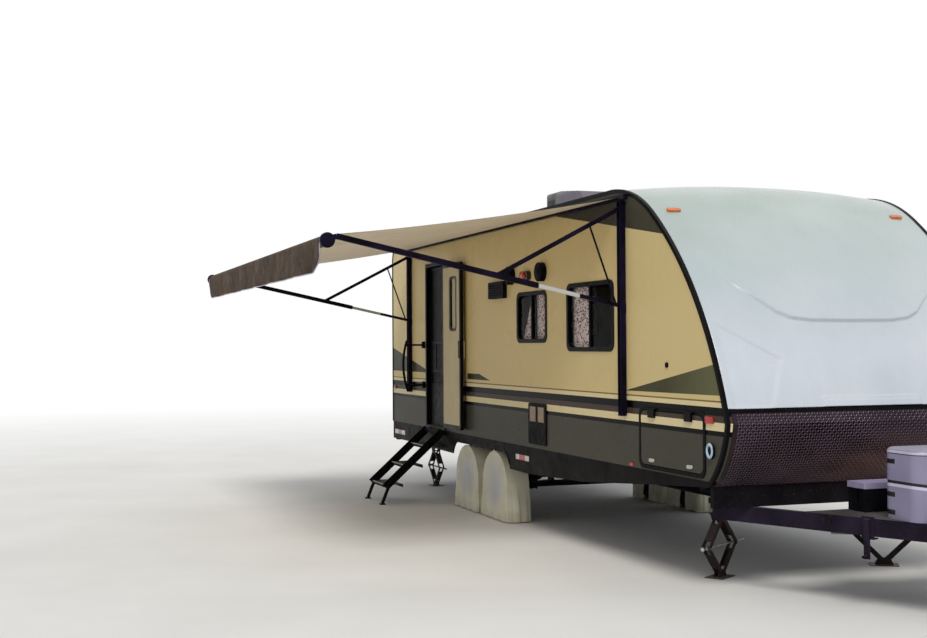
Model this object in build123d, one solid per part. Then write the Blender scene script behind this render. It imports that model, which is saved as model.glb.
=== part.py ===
from build123d import *
import os
from math import cos, hypot, radians, sqrt, tan

# A travel caravan: one hollow box body on a tandem-axle frame, with a drawbar, an awning
# that stands out on its arms, an open entrance door and its jacks down.
# Millimetres. X points forward along the drawbar, Y to the left, Z up.
# X and Y are measured from the centre of the ball socket in the coupler.
# Heights are measured from the ground, and save() lowers every piece so that the origin
# is the centre of that ball socket.

# Driving dimensions of the body
ball_height = 560
body_half_width = 1220
wall = 45
rear_x = -9820
sill_z = 810
plate_foot_z = 770
roof_z = 3045
roof_crown = 55
floor_top_z = 850
floor_thickness = 60
seam = 0.3

# Front of the body in side view: the toe curves out to the nose, then a long slope leads
# back to the shoulder and the brow meets the roof
foot_x = -1754
nose = (-1495, 1226)
shoulder = (-2612, roof_z - 226)
brow_x = -3360
toe_sagitta = 48
slope_sagitta = 163
rear_corner_radius = 180
plate_top_z = 1327

# Running gear
tyre_radius = 345
tyre_width = 205
rim_radius = 190
tandem_gap = 160
axle_x = (-6110, -6110 - 2 * tyre_radius - tandem_gap)
wheel_inset = 133
wheel_y = body_half_width - wheel_inset
axle_radius = 32
hub_reach = 50
axle_gap = 0.5
rail_y = 790
rail_bottom_z = 615
rail_width = 60
rail_thickness = 8
rail_top_z = sill_z - 20

# Drawbar
drawbar_half_angle = 25
drawbar_depth = 115
drawbar_width = 50
drawbar_wall = 6
drawbar_rear_x = -2080
drawbar_front_x = -150
drawbar_spread = 20

# Doors and windows
door_rear_x = -8330
door_front_x = -7690
door_head_z = 2700
door_gap = 6
door_leaf = 40
screen_gap = 12
screen_leaf = 20
hinge_offset = 70
knuckle_radius = 8
hinge_side_gap = 16
rough_gap = 15
bay_rear_x = -2790
bay_front_x = -1820
bay_top_z = 1275


def slab(x_range, y_range, z_range):
    """Box between two limits along each axis."""
    size = [high - low for low, high in (x_range, y_range, z_range)]
    middle = [(high + low) / 2 for low, high in (x_range, y_range, z_range)]
    return Pos(*middle) * Box(*size)


def rod(start, end, radius, bore=0):
    """Round bar, or a tube if it has a bore, from one point to another."""
    axis = Vector(*end) - Vector(*start)
    section = Circle(radius)
    if bore:
        section -= Circle(bore)
    return extrude(Plane(origin=start, z_dir=axis) * section, amount=axis.length)


def beam(start, end, width, depth, thickness=0):
    """Rectangular bar or tube from one point to another, its depth held upright."""
    axis = Vector(*end) - Vector(*start)
    side = axis.cross(Vector(0, 0, 1)).normalized()
    section = Rectangle(width, depth)
    if thickness:
        section -= Rectangle(width - 2 * thickness, depth - 2 * thickness)
    return extrude(Plane(origin=start, x_dir=side, z_dir=axis) * section, amount=axis.length)


def across(face, y_low, y_high):
    """Stand up a face drawn in side view and fill it from one Y to the other."""
    return Pos(0, y_high, 0) * extrude(Plane.XZ * face, amount=y_high - y_low)


def side_rectangle(x_low, x_high, z_low, z_high):
    """Rectangle drawn in side view."""
    return Pos((x_low + x_high) / 2, (z_low + z_high) / 2) * Rectangle(x_high - x_low, z_high - z_low)


def left(part):
    """The same piece on the other side of the vehicle."""
    return part.mirror(Plane.XZ)


def both(part):
    """The piece and its mirror image."""
    return [part, left(part)]


def solids_of(pieces):
    """All solids in a list of pieces."""
    return [solid for piece in pieces for solid in piece.solids()]


def save(name, *pieces):
    """Write one node, with the origin moved to the ball socket."""
    node = Compound(solids_of(pieces)).moved(Location((0, 0, -ball_height)))
    export_step(node, f"parts/{name}.step")


# Body shell

inner_half_width = body_half_width - wall


def body_outline(rise=0):
    """Side view of the whole box, with the roof line and the cap raised by the rise."""
    toe = SagittaArc((foot_x, plate_foot_z), nose, -toe_sagitta)
    plain = SagittaArc(nose, shoulder, -slope_sagitta)
    centre = plain.arc_center
    run = sqrt(plain.radius**2 - (plate_top_z - centre.Y) ** 2)
    cap_foot = (centre.X + run, plate_top_z)
    low_slope = ThreePointArc(nose, plain @ 0.01, cap_foot)
    outward = Vector(*shoulder) - Vector(centre.X, centre.Y)
    raised = Vector(*shoulder) + outward.normalized() * rise
    middle = Vector(*(plain @ 0.5)) - Vector(centre.X, centre.Y)
    raised_middle = Vector(centre.X, centre.Y) + middle.normalized() * (plain.radius + rise / 2)
    slope = ThreePointArc(cap_foot, tuple(raised_middle)[:2], tuple(raised)[:2])
    brow = TangentArc(slope @ 1, (brow_x, roof_z + rise), tangent=slope % 1)
    roof_end = (rear_x + rear_corner_radius, roof_z + rise)
    rear_top = (rear_x, roof_z - rear_corner_radius)
    bend = rear_corner_radius * (1 - sqrt(0.5))
    corner = ThreePointArc(roof_end, (rear_x + bend, roof_z - bend + rise / 2), rear_top)
    lines = [
        toe,
        low_slope,
        slope,
        brow,
        Line((brow_x, roof_z + rise), roof_end),
        corner,
        Line(rear_top, (rear_x, plate_foot_z)),
        Line((rear_x, plate_foot_z), (foot_x, plate_foot_z)),
    ]
    return make_face(Curve() + lines)


outline = body_outline()
inside_outline = offset(outline, -wall, kind=Kind.INTERSECTION)


def crown_at(y):
    """How far the crowned roof stands above its edges at one place across it."""
    return roof_crown * (1 - (y / inner_half_width) ** 2)


def shell_part(x_range, z_range):
    """One flat-sided stretch of the shell between the side walls."""
    face = (outline - inside_outline) & side_rectangle(*x_range, *z_range)
    return across(face, -inner_half_width, inner_half_width)


def crowned_part(x_range, z_range):
    """One stretch of the shell whose outside is crowned across the body."""
    sections = []
    for share in (-1, -0.5, 0, 0.5, 1):
        y = share * inner_half_width
        face = (body_outline(crown_at(y)) - inside_outline) & side_rectangle(*x_range, *z_range)
        sections.append(Pos(0, y, 0) * (Plane.XZ * face))
    return loft(sections)


front_end_x = nose[0] + 50
rear_end_x = rear_x - 50
top_end_z = roof_z + roof_crown + 50
rear_seam_z = roof_z - rear_corner_radius

# Windows: side (-1 right, 1 left), middle x, middle z, width, height
windows = [
    (-1, -5045, 2045, 750, 490),
    (-1, -3737, 2021, 955, 597),
    (1, -3600, 2021, 955, 597),
    (1, -5350, 2100, 750, 490),
    (1, -7300, 2021, 1300, 597),
    (1, -9150, 2150, 450, 380),
]
frame_flange = 38
frame_proud = 8
frame_corner = 75
hole_corner = 60
glass = 5
glass_inset = 10
divider = 24


def window_hole(x, z, width, height, shrink=0):
    """Rounded outline of a window, drawn in side view."""
    inset = 2 * (frame_flange / 2 + shrink)
    return Pos(x, z) * RectangleRounded(width - inset, height - inset, hole_corner)


def bay_shape(margin, corner):
    """Outline of the storage bay's doorway in side view, grown by a margin."""
    width = bay_front_x - bay_rear_x + 2 * margin
    height = bay_top_z - floor_top_z + 2 * margin
    middle = Pos((bay_rear_x + bay_front_x) / 2, (floor_top_z + bay_top_z) / 2)
    return middle * RectangleRounded(width, height, corner)


def wall_panel(side):
    """A side wall with its holes, drawn as the right wall and mirrored for the left one."""
    face = outline & side_rectangle(rear_end_x, front_end_x, sill_z, top_end_z)
    for window_side, x, z, width, height in windows:
        if window_side == side:
            face -= window_hole(x, z, width, height)
    face -= bay_shape(0, hole_corner)
    if side < 0:
        face -= side_rectangle(
            door_rear_x - rough_gap, door_front_x + rough_gap, sill_z, door_head_z + rough_gap
        )
    panel = across(face, -body_half_width, -inner_half_width)
    return panel if side < 0 else left(panel)


right_wall = wall_panel(-1)
left_wall = wall_panel(1)
roof = crowned_part((rear_end_x, brow_x), (rear_seam_z, top_end_z))
rear_wall = shell_part((rear_end_x, rear_x + 2 * wall), (floor_top_z, rear_seam_z))
front_cap = crowned_part((brow_x, front_end_x), (plate_top_z, top_end_z))
front_plate = shell_part((foot_x - 60, front_end_x), (plate_foot_z, plate_top_z))
floor = slab(
    (rear_x, foot_x - 60),
    (-inner_half_width, inner_half_width),
    (floor_top_z - floor_thickness, floor_top_z),
)


def window_frame(side, x, z, width, height):
    """Flange outside, sleeve through the wall and the bar between the two panes."""
    flange = Pos(x, z) * RectangleRounded(width, height, frame_corner)
    opening = window_hole(x, z, width, height, shrink=frame_flange / 2)
    ring = across(flange - opening, -body_half_width - frame_proud, -body_half_width)
    sleeve_shape = window_hole(x, z, width, height, shrink=seam) - opening
    sleeve = across(sleeve_shape, -body_half_width, -inner_half_width)
    reach = height / 2 - frame_flange + glass_inset
    bar = across(
        side_rectangle(x - divider / 2, x + divider / 2, z - reach, z + reach),
        -body_half_width - frame_proud / 2,
        -inner_half_width + glass_inset,
    )
    frame = ring + sleeve + bar
    return frame if side < 0 else left(frame)


def window_pane(side, x, z, width, height):
    """Two panes, one each side of the bar."""
    opening = window_hole(x, z, width, height, shrink=frame_flange / 2 + seam)
    opening -= side_rectangle(x - divider / 2 - seam, x + divider / 2 + seam, z - height, z + height)
    pane = across(opening, -body_half_width + glass_inset, -body_half_width + glass_inset + glass)
    return pane if side < 0 else left(pane)


curtain_overlap = 40
curtain_hang = 25


def curtain(side, x, z, width, height):
    """A drawn curtain behind the rear half of a window."""
    cloth = slab(
        (x - width / 2 - curtain_overlap, x - width * 0.05),
        (-inner_half_width + seam, -inner_half_width + curtain_hang),
        (z - height / 2 - curtain_overlap, z + height / 2 + 1.5 * curtain_overlap),
    )
    return cloth if side < 0 else left(cloth)


# Edge mouldings along the seams between the side walls and the front, roof and rear
trim_cover = 26
trim_proud = 6
trim_lap = 22
seam_strip = 24


def edge_trims():
    """Angle mouldings along both edges of the body, joined by the strip under the cap."""
    outside = offset(outline, trim_proud, kind=Kind.INTERSECTION)
    above_sill = side_rectangle(rear_end_x, front_end_x, sill_z, top_end_z)
    flange = (outside - offset(outline, -trim_cover, kind=Kind.INTERSECTION)) & above_sill
    flange -= side_rectangle(rear_x + trim_cover, foot_x, plate_foot_z, plate_foot_z + trim_cover + 1)
    side = across(flange, -body_half_width - trim_proud, -body_half_width)
    side += across((outside - outline) & above_sill, -body_half_width, -body_half_width + trim_lap)
    strip_shape = outside - offset(outline, seam, kind=Kind.INTERSECTION)
    strip_shape &= side_rectangle(foot_x, front_end_x, plate_top_z - seam_strip, plate_top_z)
    strip = across(strip_shape, -body_half_width, body_half_width)
    return side + left(side) + strip


# Mouldings and lamps on the cap: the lamp's place across the body and along the cap
cap_pad_half_width = 395
cap_pad_height = 52
cap_pad_proud = 9
cap_lamp_y = 1030
cap_lamp_share = 0.99
cap_lamp_size = (120, 38)
cap_lamp_proud = 14
cap_lamp_depth = 9


def cap_lamp(side, clearance=0):
    """Oval marker lamp let into the shoulder of the cap."""
    plain = SagittaArc(nose, shoulder, -slope_sagitta)
    place = plain @ cap_lamp_share
    outward = (place - plain.arc_center).normalized()
    rise = crown_at(cap_lamp_y)
    origin = Vector(place.X + outward.X * rise, side * cap_lamp_y, place.Y + outward.Y * rise)
    plane = Plane(origin=origin, x_dir=(0, 1, 0), z_dir=(outward.X, 0, outward.Y))
    shape = SlotOverall(cap_lamp_size[0] + 2 * clearance, cap_lamp_size[1] + 2 * clearance)
    length = cap_lamp_depth + cap_lamp_proud + 4 * clearance
    return extrude(plane.offset(-cap_lamp_depth - clearance) * shape, amount=length)


def cap_pad():
    """Low raised panel at the foot of the cap, ahead of the gas cover."""
    above_plate = side_rectangle(foot_x, front_end_x, plate_top_z, plate_top_z + cap_pad_height)
    shape = (offset(outline, cap_pad_proud, kind=Kind.INTERSECTION) - outline) & above_plate
    pad = across(shape, -cap_pad_half_width, cap_pad_half_width)
    return pad


for lamp_side in (-1, 1):
    front_cap -= cap_lamp(lamp_side, clearance=seam)
front_cap += cap_pad()


# Entrance doorway, its frame and its two doors

door_middle_x = (door_rear_x + door_front_x) / 2
door_width = door_front_x - door_rear_x
hinge_x = door_front_x + hinge_offset
hinge_y = -body_half_width - 25
hinge_heights = (1010, (floor_top_z + door_head_z) / 2, door_head_z - 160)
door_outer_y = -body_half_width - 15
door_inner_y = door_outer_y + door_leaf
screen_outer_y = door_inner_y + screen_gap
screen_inner_y = screen_outer_y + screen_leaf
frame_lip = 45
frame_lip_proud = 12
frame_clearance = 3
door_corner = 45
door_window_margin = (150, 180)
door_window_size = (200, 560)
door_window_corner = 30
door_window_rim = 22
barrel_half = 45
knuckle_gap = 0.5
tab_height = 40
knuckle_reach = 24
latch_z = 1735
latch_size = (60, 190)
latch_inset = 5
latch_corner = 12
latch_proud = 4
strap_length = 90
strap_thickness = 5


def door_frame():
    """Four angle bars around the doorway, then the fixed knuckles of the hinges."""
    hole_x = (door_rear_x - rough_gap + seam, door_front_x + rough_gap - seam)
    hole = side_rectangle(*hole_x, sill_z, door_head_z + rough_gap - seam)
    clear_z = (floor_top_z - frame_clearance, door_head_z + frame_clearance)
    clear = side_rectangle(door_rear_x - frame_clearance, door_front_x + frame_clearance, *clear_z)
    lip = side_rectangle(door_rear_x - frame_lip, door_front_x + frame_lip, sill_z, door_head_z + frame_lip)
    ring = across(lip - clear, -body_half_width - frame_lip_proud, -body_half_width)
    ring += across(hole - clear, -body_half_width, -inner_half_width)
    all_x = (door_rear_x - frame_lip, door_front_x + frame_lip)
    all_y = (-body_half_width - frame_lip_proud, -inner_half_width)
    bars = [
        ring & slab(all_x, all_y, (sill_z, clear_z[0])),
        ring & slab(all_x, all_y, (clear_z[1], door_head_z + frame_lip)),
        ring & slab((all_x[0], door_middle_x), all_y, clear_z),
        ring & slab((door_middle_x, all_x[1]), all_y, clear_z),
    ]
    tab_foot = barrel_half + knuckle_gap + screen_tab_lift
    for z in hinge_heights:
        for low, high in (
            (-barrel_half - knuckle_gap - knuckle_reach, -barrel_half - knuckle_gap),
            (barrel_half + knuckle_gap, tab_foot - knuckle_gap),
            (tab_foot + tab_height + knuckle_gap, tab_foot + tab_height + knuckle_reach),
        ):
            lug_x = (door_front_x + frame_lip, hinge_x)
            lug = slab(lug_x, (hinge_y, -body_half_width), (z + low, z + high))
            bars.append(lug + rod((hinge_x, hinge_y, z + low), (hinge_x, hinge_y, z + high), knuckle_radius))
    return bars


def opened(part):
    """Swing a door from its closed place to flat against the wall ahead of the doorway."""
    hinge = Axis((hinge_x, hinge_y, 0), (0, 0, 1))
    return part.rotate(hinge, 180)


def entry_door():
    """Leaf with its latch plate, the pane and the moving halves of the hinges, swung open."""
    leaf_shape = RectangleRounded(
        door_width - door_gap - hinge_side_gap, door_head_z - floor_top_z - 2 * door_gap, door_corner
    )
    middle = Pos(door_middle_x - (hinge_side_gap - door_gap) / 2, (floor_top_z + door_head_z) / 2)
    leaf = across(middle * leaf_shape, door_outer_y, door_inner_y)
    window_x = door_rear_x + door_window_margin[0] + door_window_size[0] / 2
    window_z = door_head_z - door_window_margin[1] - door_window_size[1] / 2
    window = Pos(window_x, window_z) * RectangleRounded(*door_window_size, door_window_corner)
    rim = offset(window, door_window_rim) - window
    leaf -= across(window, door_outer_y - 1, door_inner_y + 1)
    leaf += across(rim, door_inner_y, door_inner_y + latch_proud)
    latch_x = door_rear_x + door_gap + latch_size[0] / 2 + latch_inset
    latch = Pos(latch_x, latch_z) * RectangleRounded(*latch_size, latch_corner)
    leaf += across(latch, door_inner_y, door_inner_y + latch_proud)
    leaf += across(latch, door_outer_y - 3 * latch_proud, door_outer_y)
    pane = across(offset(window, -seam), door_outer_y + glass_inset, door_outer_y + glass_inset + glass)
    pieces = [leaf, pane]
    for z in hinge_heights:
        strap = slab(
            (door_front_x - strap_length, hinge_x),
            (door_outer_y - strap_thickness, door_outer_y),
            (z - barrel_half, z + barrel_half),
        )
        barrel = rod((hinge_x, hinge_y, z - barrel_half), (hinge_x, hinge_y, z + barrel_half), knuckle_radius)
        pieces.append(strap + barrel)
    return [opened(piece) for piece in pieces]


screen_tab_lift = 10
screen_bar = 35
kick_height = 480
slide_lift = 160
slide_size = (160, 300)
mesh_thickness = 2
tab_thickness = 3
tab_lap = 5


def screen_door():
    """Closed screen door: tube frame, kick panel, slide by the latch, mesh and hinge tabs."""
    low_z = floor_top_z + door_gap
    high_z = door_head_z - door_gap
    rear = door_rear_x + door_gap
    front = door_front_x - door_gap
    slide_foot = low_z + kick_height + slide_lift
    slide_z = (slide_foot, slide_foot + slide_size[1])
    face = side_rectangle(rear, front, low_z, high_z)
    lights = [
        (low_z + kick_height, slide_z[0] - screen_bar),
        (slide_z[0], slide_z[1]),
        (slide_z[1] + screen_bar, high_z - screen_bar),
    ]
    for foot, head in lights:
        face -= side_rectangle(rear + screen_bar, front - screen_bar, foot, head)
    leaf = across(face, screen_outer_y, screen_inner_y)
    middle_y = (screen_outer_y + screen_inner_y) / 2
    mesh_shape = side_rectangle(rear + screen_bar, front - screen_bar, lights[0][0], lights[2][1])
    leaf += across(mesh_shape, middle_y - mesh_thickness / 2, middle_y + mesh_thickness / 2)
    slide = side_rectangle(rear + screen_bar, rear + screen_bar + slide_size[0], *slide_z)
    leaf += across(slide, middle_y - 3 * mesh_thickness, middle_y + 3 * mesh_thickness)
    for z in hinge_heights:
        low = z + barrel_half + knuckle_gap + screen_tab_lift
        high = low + tab_height
        leaf += slab((front - tab_thickness, front), (hinge_y, screen_outer_y + tab_lap), (low, high))
        leaf += slab((front - tab_thickness, hinge_x), (hinge_y - tab_thickness, hinge_y), (low, high))
        leaf += rod((hinge_x, hinge_y, low), (hinge_x, hinge_y, high), knuckle_radius)
    return leaf


# Storage bay across the front of the body, with a door on each side

bay_hinge_y = -body_half_width - 20
bay_hinge_z = bay_top_z + 14
bay_leaf_proud = 6
bay_frame_cover = 28
bay_frame_proud = 8
bay_hinge_radius = 6
bay_hinge_half = 50
bay_lug = 25
bay_hinge_inset = 200
bay_hinge_x = (bay_rear_x + bay_hinge_inset, bay_front_x - bay_hinge_inset)
bay_tab = (40, 4)
bay_latch_inset = (190, 42)
bay_latch_size = (70, 26)
bay_latch_corner = 10
bay_latch_proud = 12


def baggage_door():
    """Right-hand bay door with its two thumb latches and the hinge tabs above it."""
    outer_y = -body_half_width - bay_leaf_proud
    leaf = across(bay_shape(-door_gap, hole_corner - door_gap), outer_y, -inner_half_width)
    tab_z = bay_top_z - door_gap - bay_hinge_half
    for x in bay_hinge_x:
        low_x, high_x = x - bay_hinge_half, x + bay_hinge_half
        leaf += slab((low_x, high_x), (bay_hinge_y, outer_y), (tab_z, tab_z + bay_tab[0]))
        leaf += slab((low_x, high_x), (bay_hinge_y - bay_tab[1], bay_hinge_y), (tab_z, bay_hinge_z))
        leaf += rod((low_x, bay_hinge_y, bay_hinge_z), (high_x, bay_hinge_y, bay_hinge_z), bay_hinge_radius)
    for x in (bay_rear_x + bay_latch_inset[0], bay_front_x - bay_latch_inset[0]):
        latch = Pos(x, floor_top_z + bay_latch_inset[1]) * RectangleRounded(*bay_latch_size, bay_latch_corner)
        leaf += across(latch, outer_y - bay_latch_proud, outer_y)
    return leaf


def baggage_door_frame():
    """Rounded frame around the right-hand bay door, then the fixed halves of its hinges."""
    ring = bay_shape(bay_frame_cover, hole_corner + bay_frame_cover / 2) - bay_shape(0, hole_corner)
    frame = across(ring, -body_half_width - bay_frame_proud, -body_half_width)
    for x in bay_hinge_x:
        for low, high in (
            (-bay_hinge_half - bay_lug, -bay_hinge_half - knuckle_gap),
            (bay_hinge_half + knuckle_gap, bay_hinge_half + bay_lug),
        ):
            frame += slab(
                (x + low, x + high),
                (bay_hinge_y, -body_half_width - bay_frame_proud),
                (bay_hinge_z - bay_hinge_radius, bay_hinge_z + bay_hinge_radius),
            )
            pin = [(x + reach, bay_hinge_y, bay_hinge_z) for reach in (low, high)]
            frame += rod(*pin, bay_hinge_radius)
    return frame


bed_board = 18
bay_headroom = 40
deck_front_gap = 100


def bed_box():
    """Deck and rear partition that close the storage bay off from the cabin."""
    full_width = (-inner_half_width, inner_half_width)
    deck_z = bay_top_z + bay_headroom
    back_x = bay_rear_x - bed_board - bay_headroom
    deck = slab((back_x, nose[0] - wall - deck_front_gap), full_width, (deck_z, deck_z + bed_board))
    return [deck, slab((back_x, back_x + bed_board), full_width, (floor_top_z, deck_z))]


# Frame under the body

floor_front_x = foot_x - 60
skirt_thickness = 10
skirt_outer_y = body_half_width - 4
skirt_inner_y = skirt_outer_y - skirt_thickness
belly_thickness = 6
outrigger_x = (-9300, -8500, -7900, -5300, -4400, -3500, -2600)
outrigger_depth = 70
front_beam_gap = 14
rear_beam_x = (10, 60)
rear_beam_lift = 20


def i_rail(y):
    """Rolled rail with flanges top and bottom, the length of the body."""
    height = rail_top_z - rail_bottom_z
    web_side = (rail_width - rail_thickness) / 2
    section = Rectangle(rail_width, height)
    for side in (-1, 1):
        hollow = Rectangle(web_side, height - 2 * rail_thickness)
        section -= Pos(side * (rail_thickness + web_side) / 2, 0) * hollow
    plane = Plane(origin=(rear_x, y, rail_bottom_z + height / 2), x_dir=(0, 1, 0), z_dir=(1, 0, 0))
    return extrude(plane * section, amount=floor_front_x - rear_x)


def outrigger(x, side):
    """Tapered rib that carries the floor edge and the skirt outboard of a rail."""
    root = rail_y + rail_width / 2
    shape = Polyline(
        (root, rail_top_z),
        (skirt_inner_y, rail_top_z),
        (skirt_inner_y, rail_top_z - outrigger_depth),
        (root, rail_bottom_z + 2 * rail_thickness),
        close=True,
    )
    plane = Plane(origin=(x, 0, 0), x_dir=(0, 1, 0), z_dir=(1, 0, 0))
    rib = extrude(plane * make_face(shape), amount=belly_thickness)
    return rib if side > 0 else left(rib)


def cross_frame():
    """Front and rear crossmembers and the two ties that the drawbar rails end on."""
    half = rail_y - rail_width / 2
    front_x = (floor_front_x, foot_x - front_beam_gap)
    front = slab(front_x, (-inner_half_width, inner_half_width), (rail_bottom_z, plate_foot_z))
    beam_x = [rear_x + reach for reach in rear_beam_x]
    rear = slab(beam_x, (-half, half), (rail_bottom_z + rear_beam_lift, rail_top_z))
    tie_end = drawbar_spread - drawbar_rear_x * slope
    tie = slab(
        (drawbar_rear_x, drawbar_rear_x + rail_width),
        (rail_y + rail_width / 2, tie_end + drawbar_width),
        (rail_bottom_z, rail_bottom_z + 5 * rail_thickness),
    )
    return [front, rear, tie, left(tie)]


underbelly_z = rail_bottom_z + rail_thickness
underbelly = slab(
    (rear_x + rear_beam_x[1], floor_front_x),
    (-rail_y + rail_width / 2, rail_y - rail_width / 2),
    (underbelly_z, underbelly_z + belly_thickness),
)

slope = tan(radians(drawbar_half_angle))


def drawbar_rail():
    """Right-hand rail of the A-shaped drawbar, from under the body to the coupler."""
    top = rail_bottom_z
    start = (drawbar_rear_x, drawbar_rear_x * slope - drawbar_spread, top - drawbar_depth / 2)
    end = (drawbar_front_x, drawbar_front_x * slope - drawbar_spread, top - drawbar_depth / 2)
    return beam(start, end, drawbar_width, drawbar_depth, drawbar_wall)


# Running gear

sidewall_bulge = 12
tread_shoulder = 40
shoulder_round = 25
groove_depth = 8
groove_y = (-48, -16, 16, 48)
bead_seat = 14
bead_inset = 30
wheel_nuts = 6
nut_circle = 57
nut_size = (10, 16)
flange_radius = 75
flange_half = 12
hub_rear = 60
hub_wall = 25
hub_cap = (40, 14)


def wheel(x, y):
    """Tyre with its tread grooves, and the pressed rim with hub and nuts inside it."""
    half = tyre_width / 2
    seat = rim_radius - bead_seat
    shape = make_face(
        Polyline(
            (rim_radius, -half + sidewall_bulge),
            (rim_radius + tread_shoulder, -half),
            (tyre_radius - tread_shoulder, -half),
            (tyre_radius, -half + shoulder_round),
            (tyre_radius, half - shoulder_round),
            (tyre_radius - tread_shoulder, half),
            (rim_radius + tread_shoulder, half),
            (rim_radius, half - sidewall_bulge),
            (seat, half - bead_inset),
            (seat, -half + bead_inset),
            close=True,
        )
    )
    for groove in groove_y:
        shape -= Pos(tyre_radius, groove) * Rectangle(2 * groove_depth, groove_depth)
    tyre = revolve(Plane.XY * shape, Axis.Y)
    outer = seat - seam
    rim_half = half - bead_inset - 1
    rim_shape = make_face(
        Polyline(
            (outer, -rim_half),
            (outer, rim_half),
            (outer - 8, rim_half),
            (outer - 12, -10),
            (flange_radius - 15, 6),
            (flange_radius - 15, -6),
            (outer - 22, -24),
            (outer - 8, -rim_half),
            close=True,
        )
    )
    bore = axle_radius + axle_gap
    hub = rod((0, -hub_rear, 0), (0, hub_reach, 0), flange_radius - hub_wall, bore)
    hub += rod((0, -flange_half, 0), (0, flange_half, 0), flange_radius, bore)
    hub += rod((0, hub_reach, 0), (0, hub_reach + hub_cap[1], 0), hub_cap[0])
    nut_plane = Plane(origin=(0, flange_half, 0), x_dir=(1, 0, 0), z_dir=(0, 1, 0))
    for place in PolarLocations(nut_circle, wheel_nuts):
        hub += extrude(nut_plane * place * RegularPolygon(nut_size[0], 6), amount=nut_size[1])
    rim = revolve(Plane.XY * rim_shape, Axis.Y) + hub
    placed = Pos(x, y, tyre_radius)
    turn = Rot(0, 0, 180) if y < 0 else Rot(0, 0, 0)
    return [placed * turn * tyre, placed * turn * rim]


def axle(x):
    """Axle tube from wheel to wheel, with a spindle at each end."""
    end = wheel_y + hub_reach - 1
    return rod((x, -end, tyre_radius), (x, end, tyre_radius), axle_radius)


spring_span = 620
spring_rise = 60
leaf_thickness = 9
leaf_shares = (0.55, 0.8, 1.0)
spring_pad = 14
pad_half = (48, 38)
spring_seat_z = tyre_radius + axle_radius + spring_pad
eye_z = spring_seat_z + leaf_thickness * (len(leaf_shares) - 0.5) + spring_rise
leaf_half = 22
cheek_half = 30
cheek_plate = (30, 28, 6, 20)
eye_radius = 15
eye_bolt = (7, 4)
clamp_bolt = 6
clamp_plate = 10
clamp_bolt_end = 12
rocker_reach = 18
rocker_z = (-16, 14, 60)
rocker_post = (25, 10)


def spring_pack(x, y):
    """Leaves clamped on top of the axle by four bolts, with an eye at each end."""
    pad_x = (x - pad_half[0], x + pad_half[0])
    pad_y = (y - pad_half[1], y + pad_half[1])
    pack = slab(pad_x, pad_y, (spring_seat_z - spring_pad, spring_seat_z + 2))
    plate_z = tyre_radius - axle_radius
    pack += slab(pad_x, pad_y, (plate_z - clamp_plate, plate_z))
    for level, share in enumerate(leaf_shares):
        z = spring_seat_z + level * leaf_thickness
        half = spring_span / 2 * share
        rise = spring_rise * share * share
        low = ThreePointArc((x - half, z + rise), (x, z), (x + half, z + rise))
        top = z + leaf_thickness
        high = ThreePointArc((x - half, top + rise), (x, top), (x + half, top + rise))
        ends = [Line(low @ 0, high @ 0), Line(low @ 1, high @ 1)]
        pack += across(make_face(Curve() + [low, high] + ends), y - leaf_half, y + leaf_half)
    bolt_foot = plate_z - clamp_plate - clamp_bolt_end
    bolt_top = spring_seat_z + len(leaf_shares) * leaf_thickness + clamp_plate
    bolt_reach = (axle_radius + clamp_bolt + 1, leaf_half + clamp_bolt + 1)
    for bolt_x in (x - bolt_reach[0], x + bolt_reach[0]):
        for bolt_y in (y - bolt_reach[1], y + bolt_reach[1]):
            pack += rod((bolt_x, bolt_y, bolt_foot), (bolt_x, bolt_y, bolt_top), clamp_bolt)
        bridge_z = bolt_top - clamp_bolt
        pack += rod((bolt_x, y - bolt_reach[1], bridge_z), (bolt_x, y + bolt_reach[1], bridge_z), clamp_bolt)
    for end in (-1, 1):
        eye_x = x + end * spring_span / 2
        bolt_half = cheek_half + eye_bolt[1]
        pack += rod((eye_x, y - leaf_half, eye_z), (eye_x, y + leaf_half, eye_z), eye_radius)
        pack += rod((eye_x, y - bolt_half, eye_z), (eye_x, y + bolt_half, eye_z), eye_bolt[0])
    return pack


def hanger(x, y):
    """Two cheeks under the rail that carry one spring eye."""
    top_half, side_half, thickness, drop = cheek_plate
    top_z = (rail_bottom_z - thickness, rail_bottom_z)
    piece = slab((x - top_half, x + top_half), (y - cheek_half, y + cheek_half), top_z)
    for side in (-1, 1):
        cheek_y = sorted((y + side * (leaf_half + 1), y + side * cheek_half))
        piece += slab((x - side_half, x + side_half), cheek_y, (eye_z - drop, rail_bottom_z))
    return piece


def suspension(y):
    """Both springs of one side with their hangers and the equaliser between them."""
    front_eye = axle_x[0] - spring_span / 2
    rear_eye = axle_x[1] + spring_span / 2
    middle = (front_eye + rear_eye) / 2
    unit = spring_pack(axle_x[0], y) + spring_pack(axle_x[1], y)
    unit += hanger(axle_x[0] + spring_span / 2, y) + hanger(axle_x[1] - spring_span / 2, y)
    low, side_top, top = [eye_z + rise for rise in rocker_z]
    rocker = Polyline(
        (front_eye + rocker_reach, low),
        (front_eye + rocker_reach, side_top),
        (middle, top),
        (rear_eye - rocker_reach, side_top),
        (rear_eye - rocker_reach, low),
        close=True,
    )
    plate = make_face(rocker)
    unit += across(plate, y - cheek_half, y - leaf_half - 1)
    unit += across(plate, y + leaf_half + 1, y + cheek_half)
    post_half, post_lift = rocker_post
    post_y = (y - leaf_half - 1, y + leaf_half + 1)
    unit += slab((middle - post_half, middle + post_half), post_y, (eye_z + post_lift, rail_bottom_z))
    return unit


cover_half = 125
cloth = 4
cover_clearance = 5
hem_z = 6
hem_flare = 15
cover_slot = 90
cover_slot_rise = 30


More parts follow.
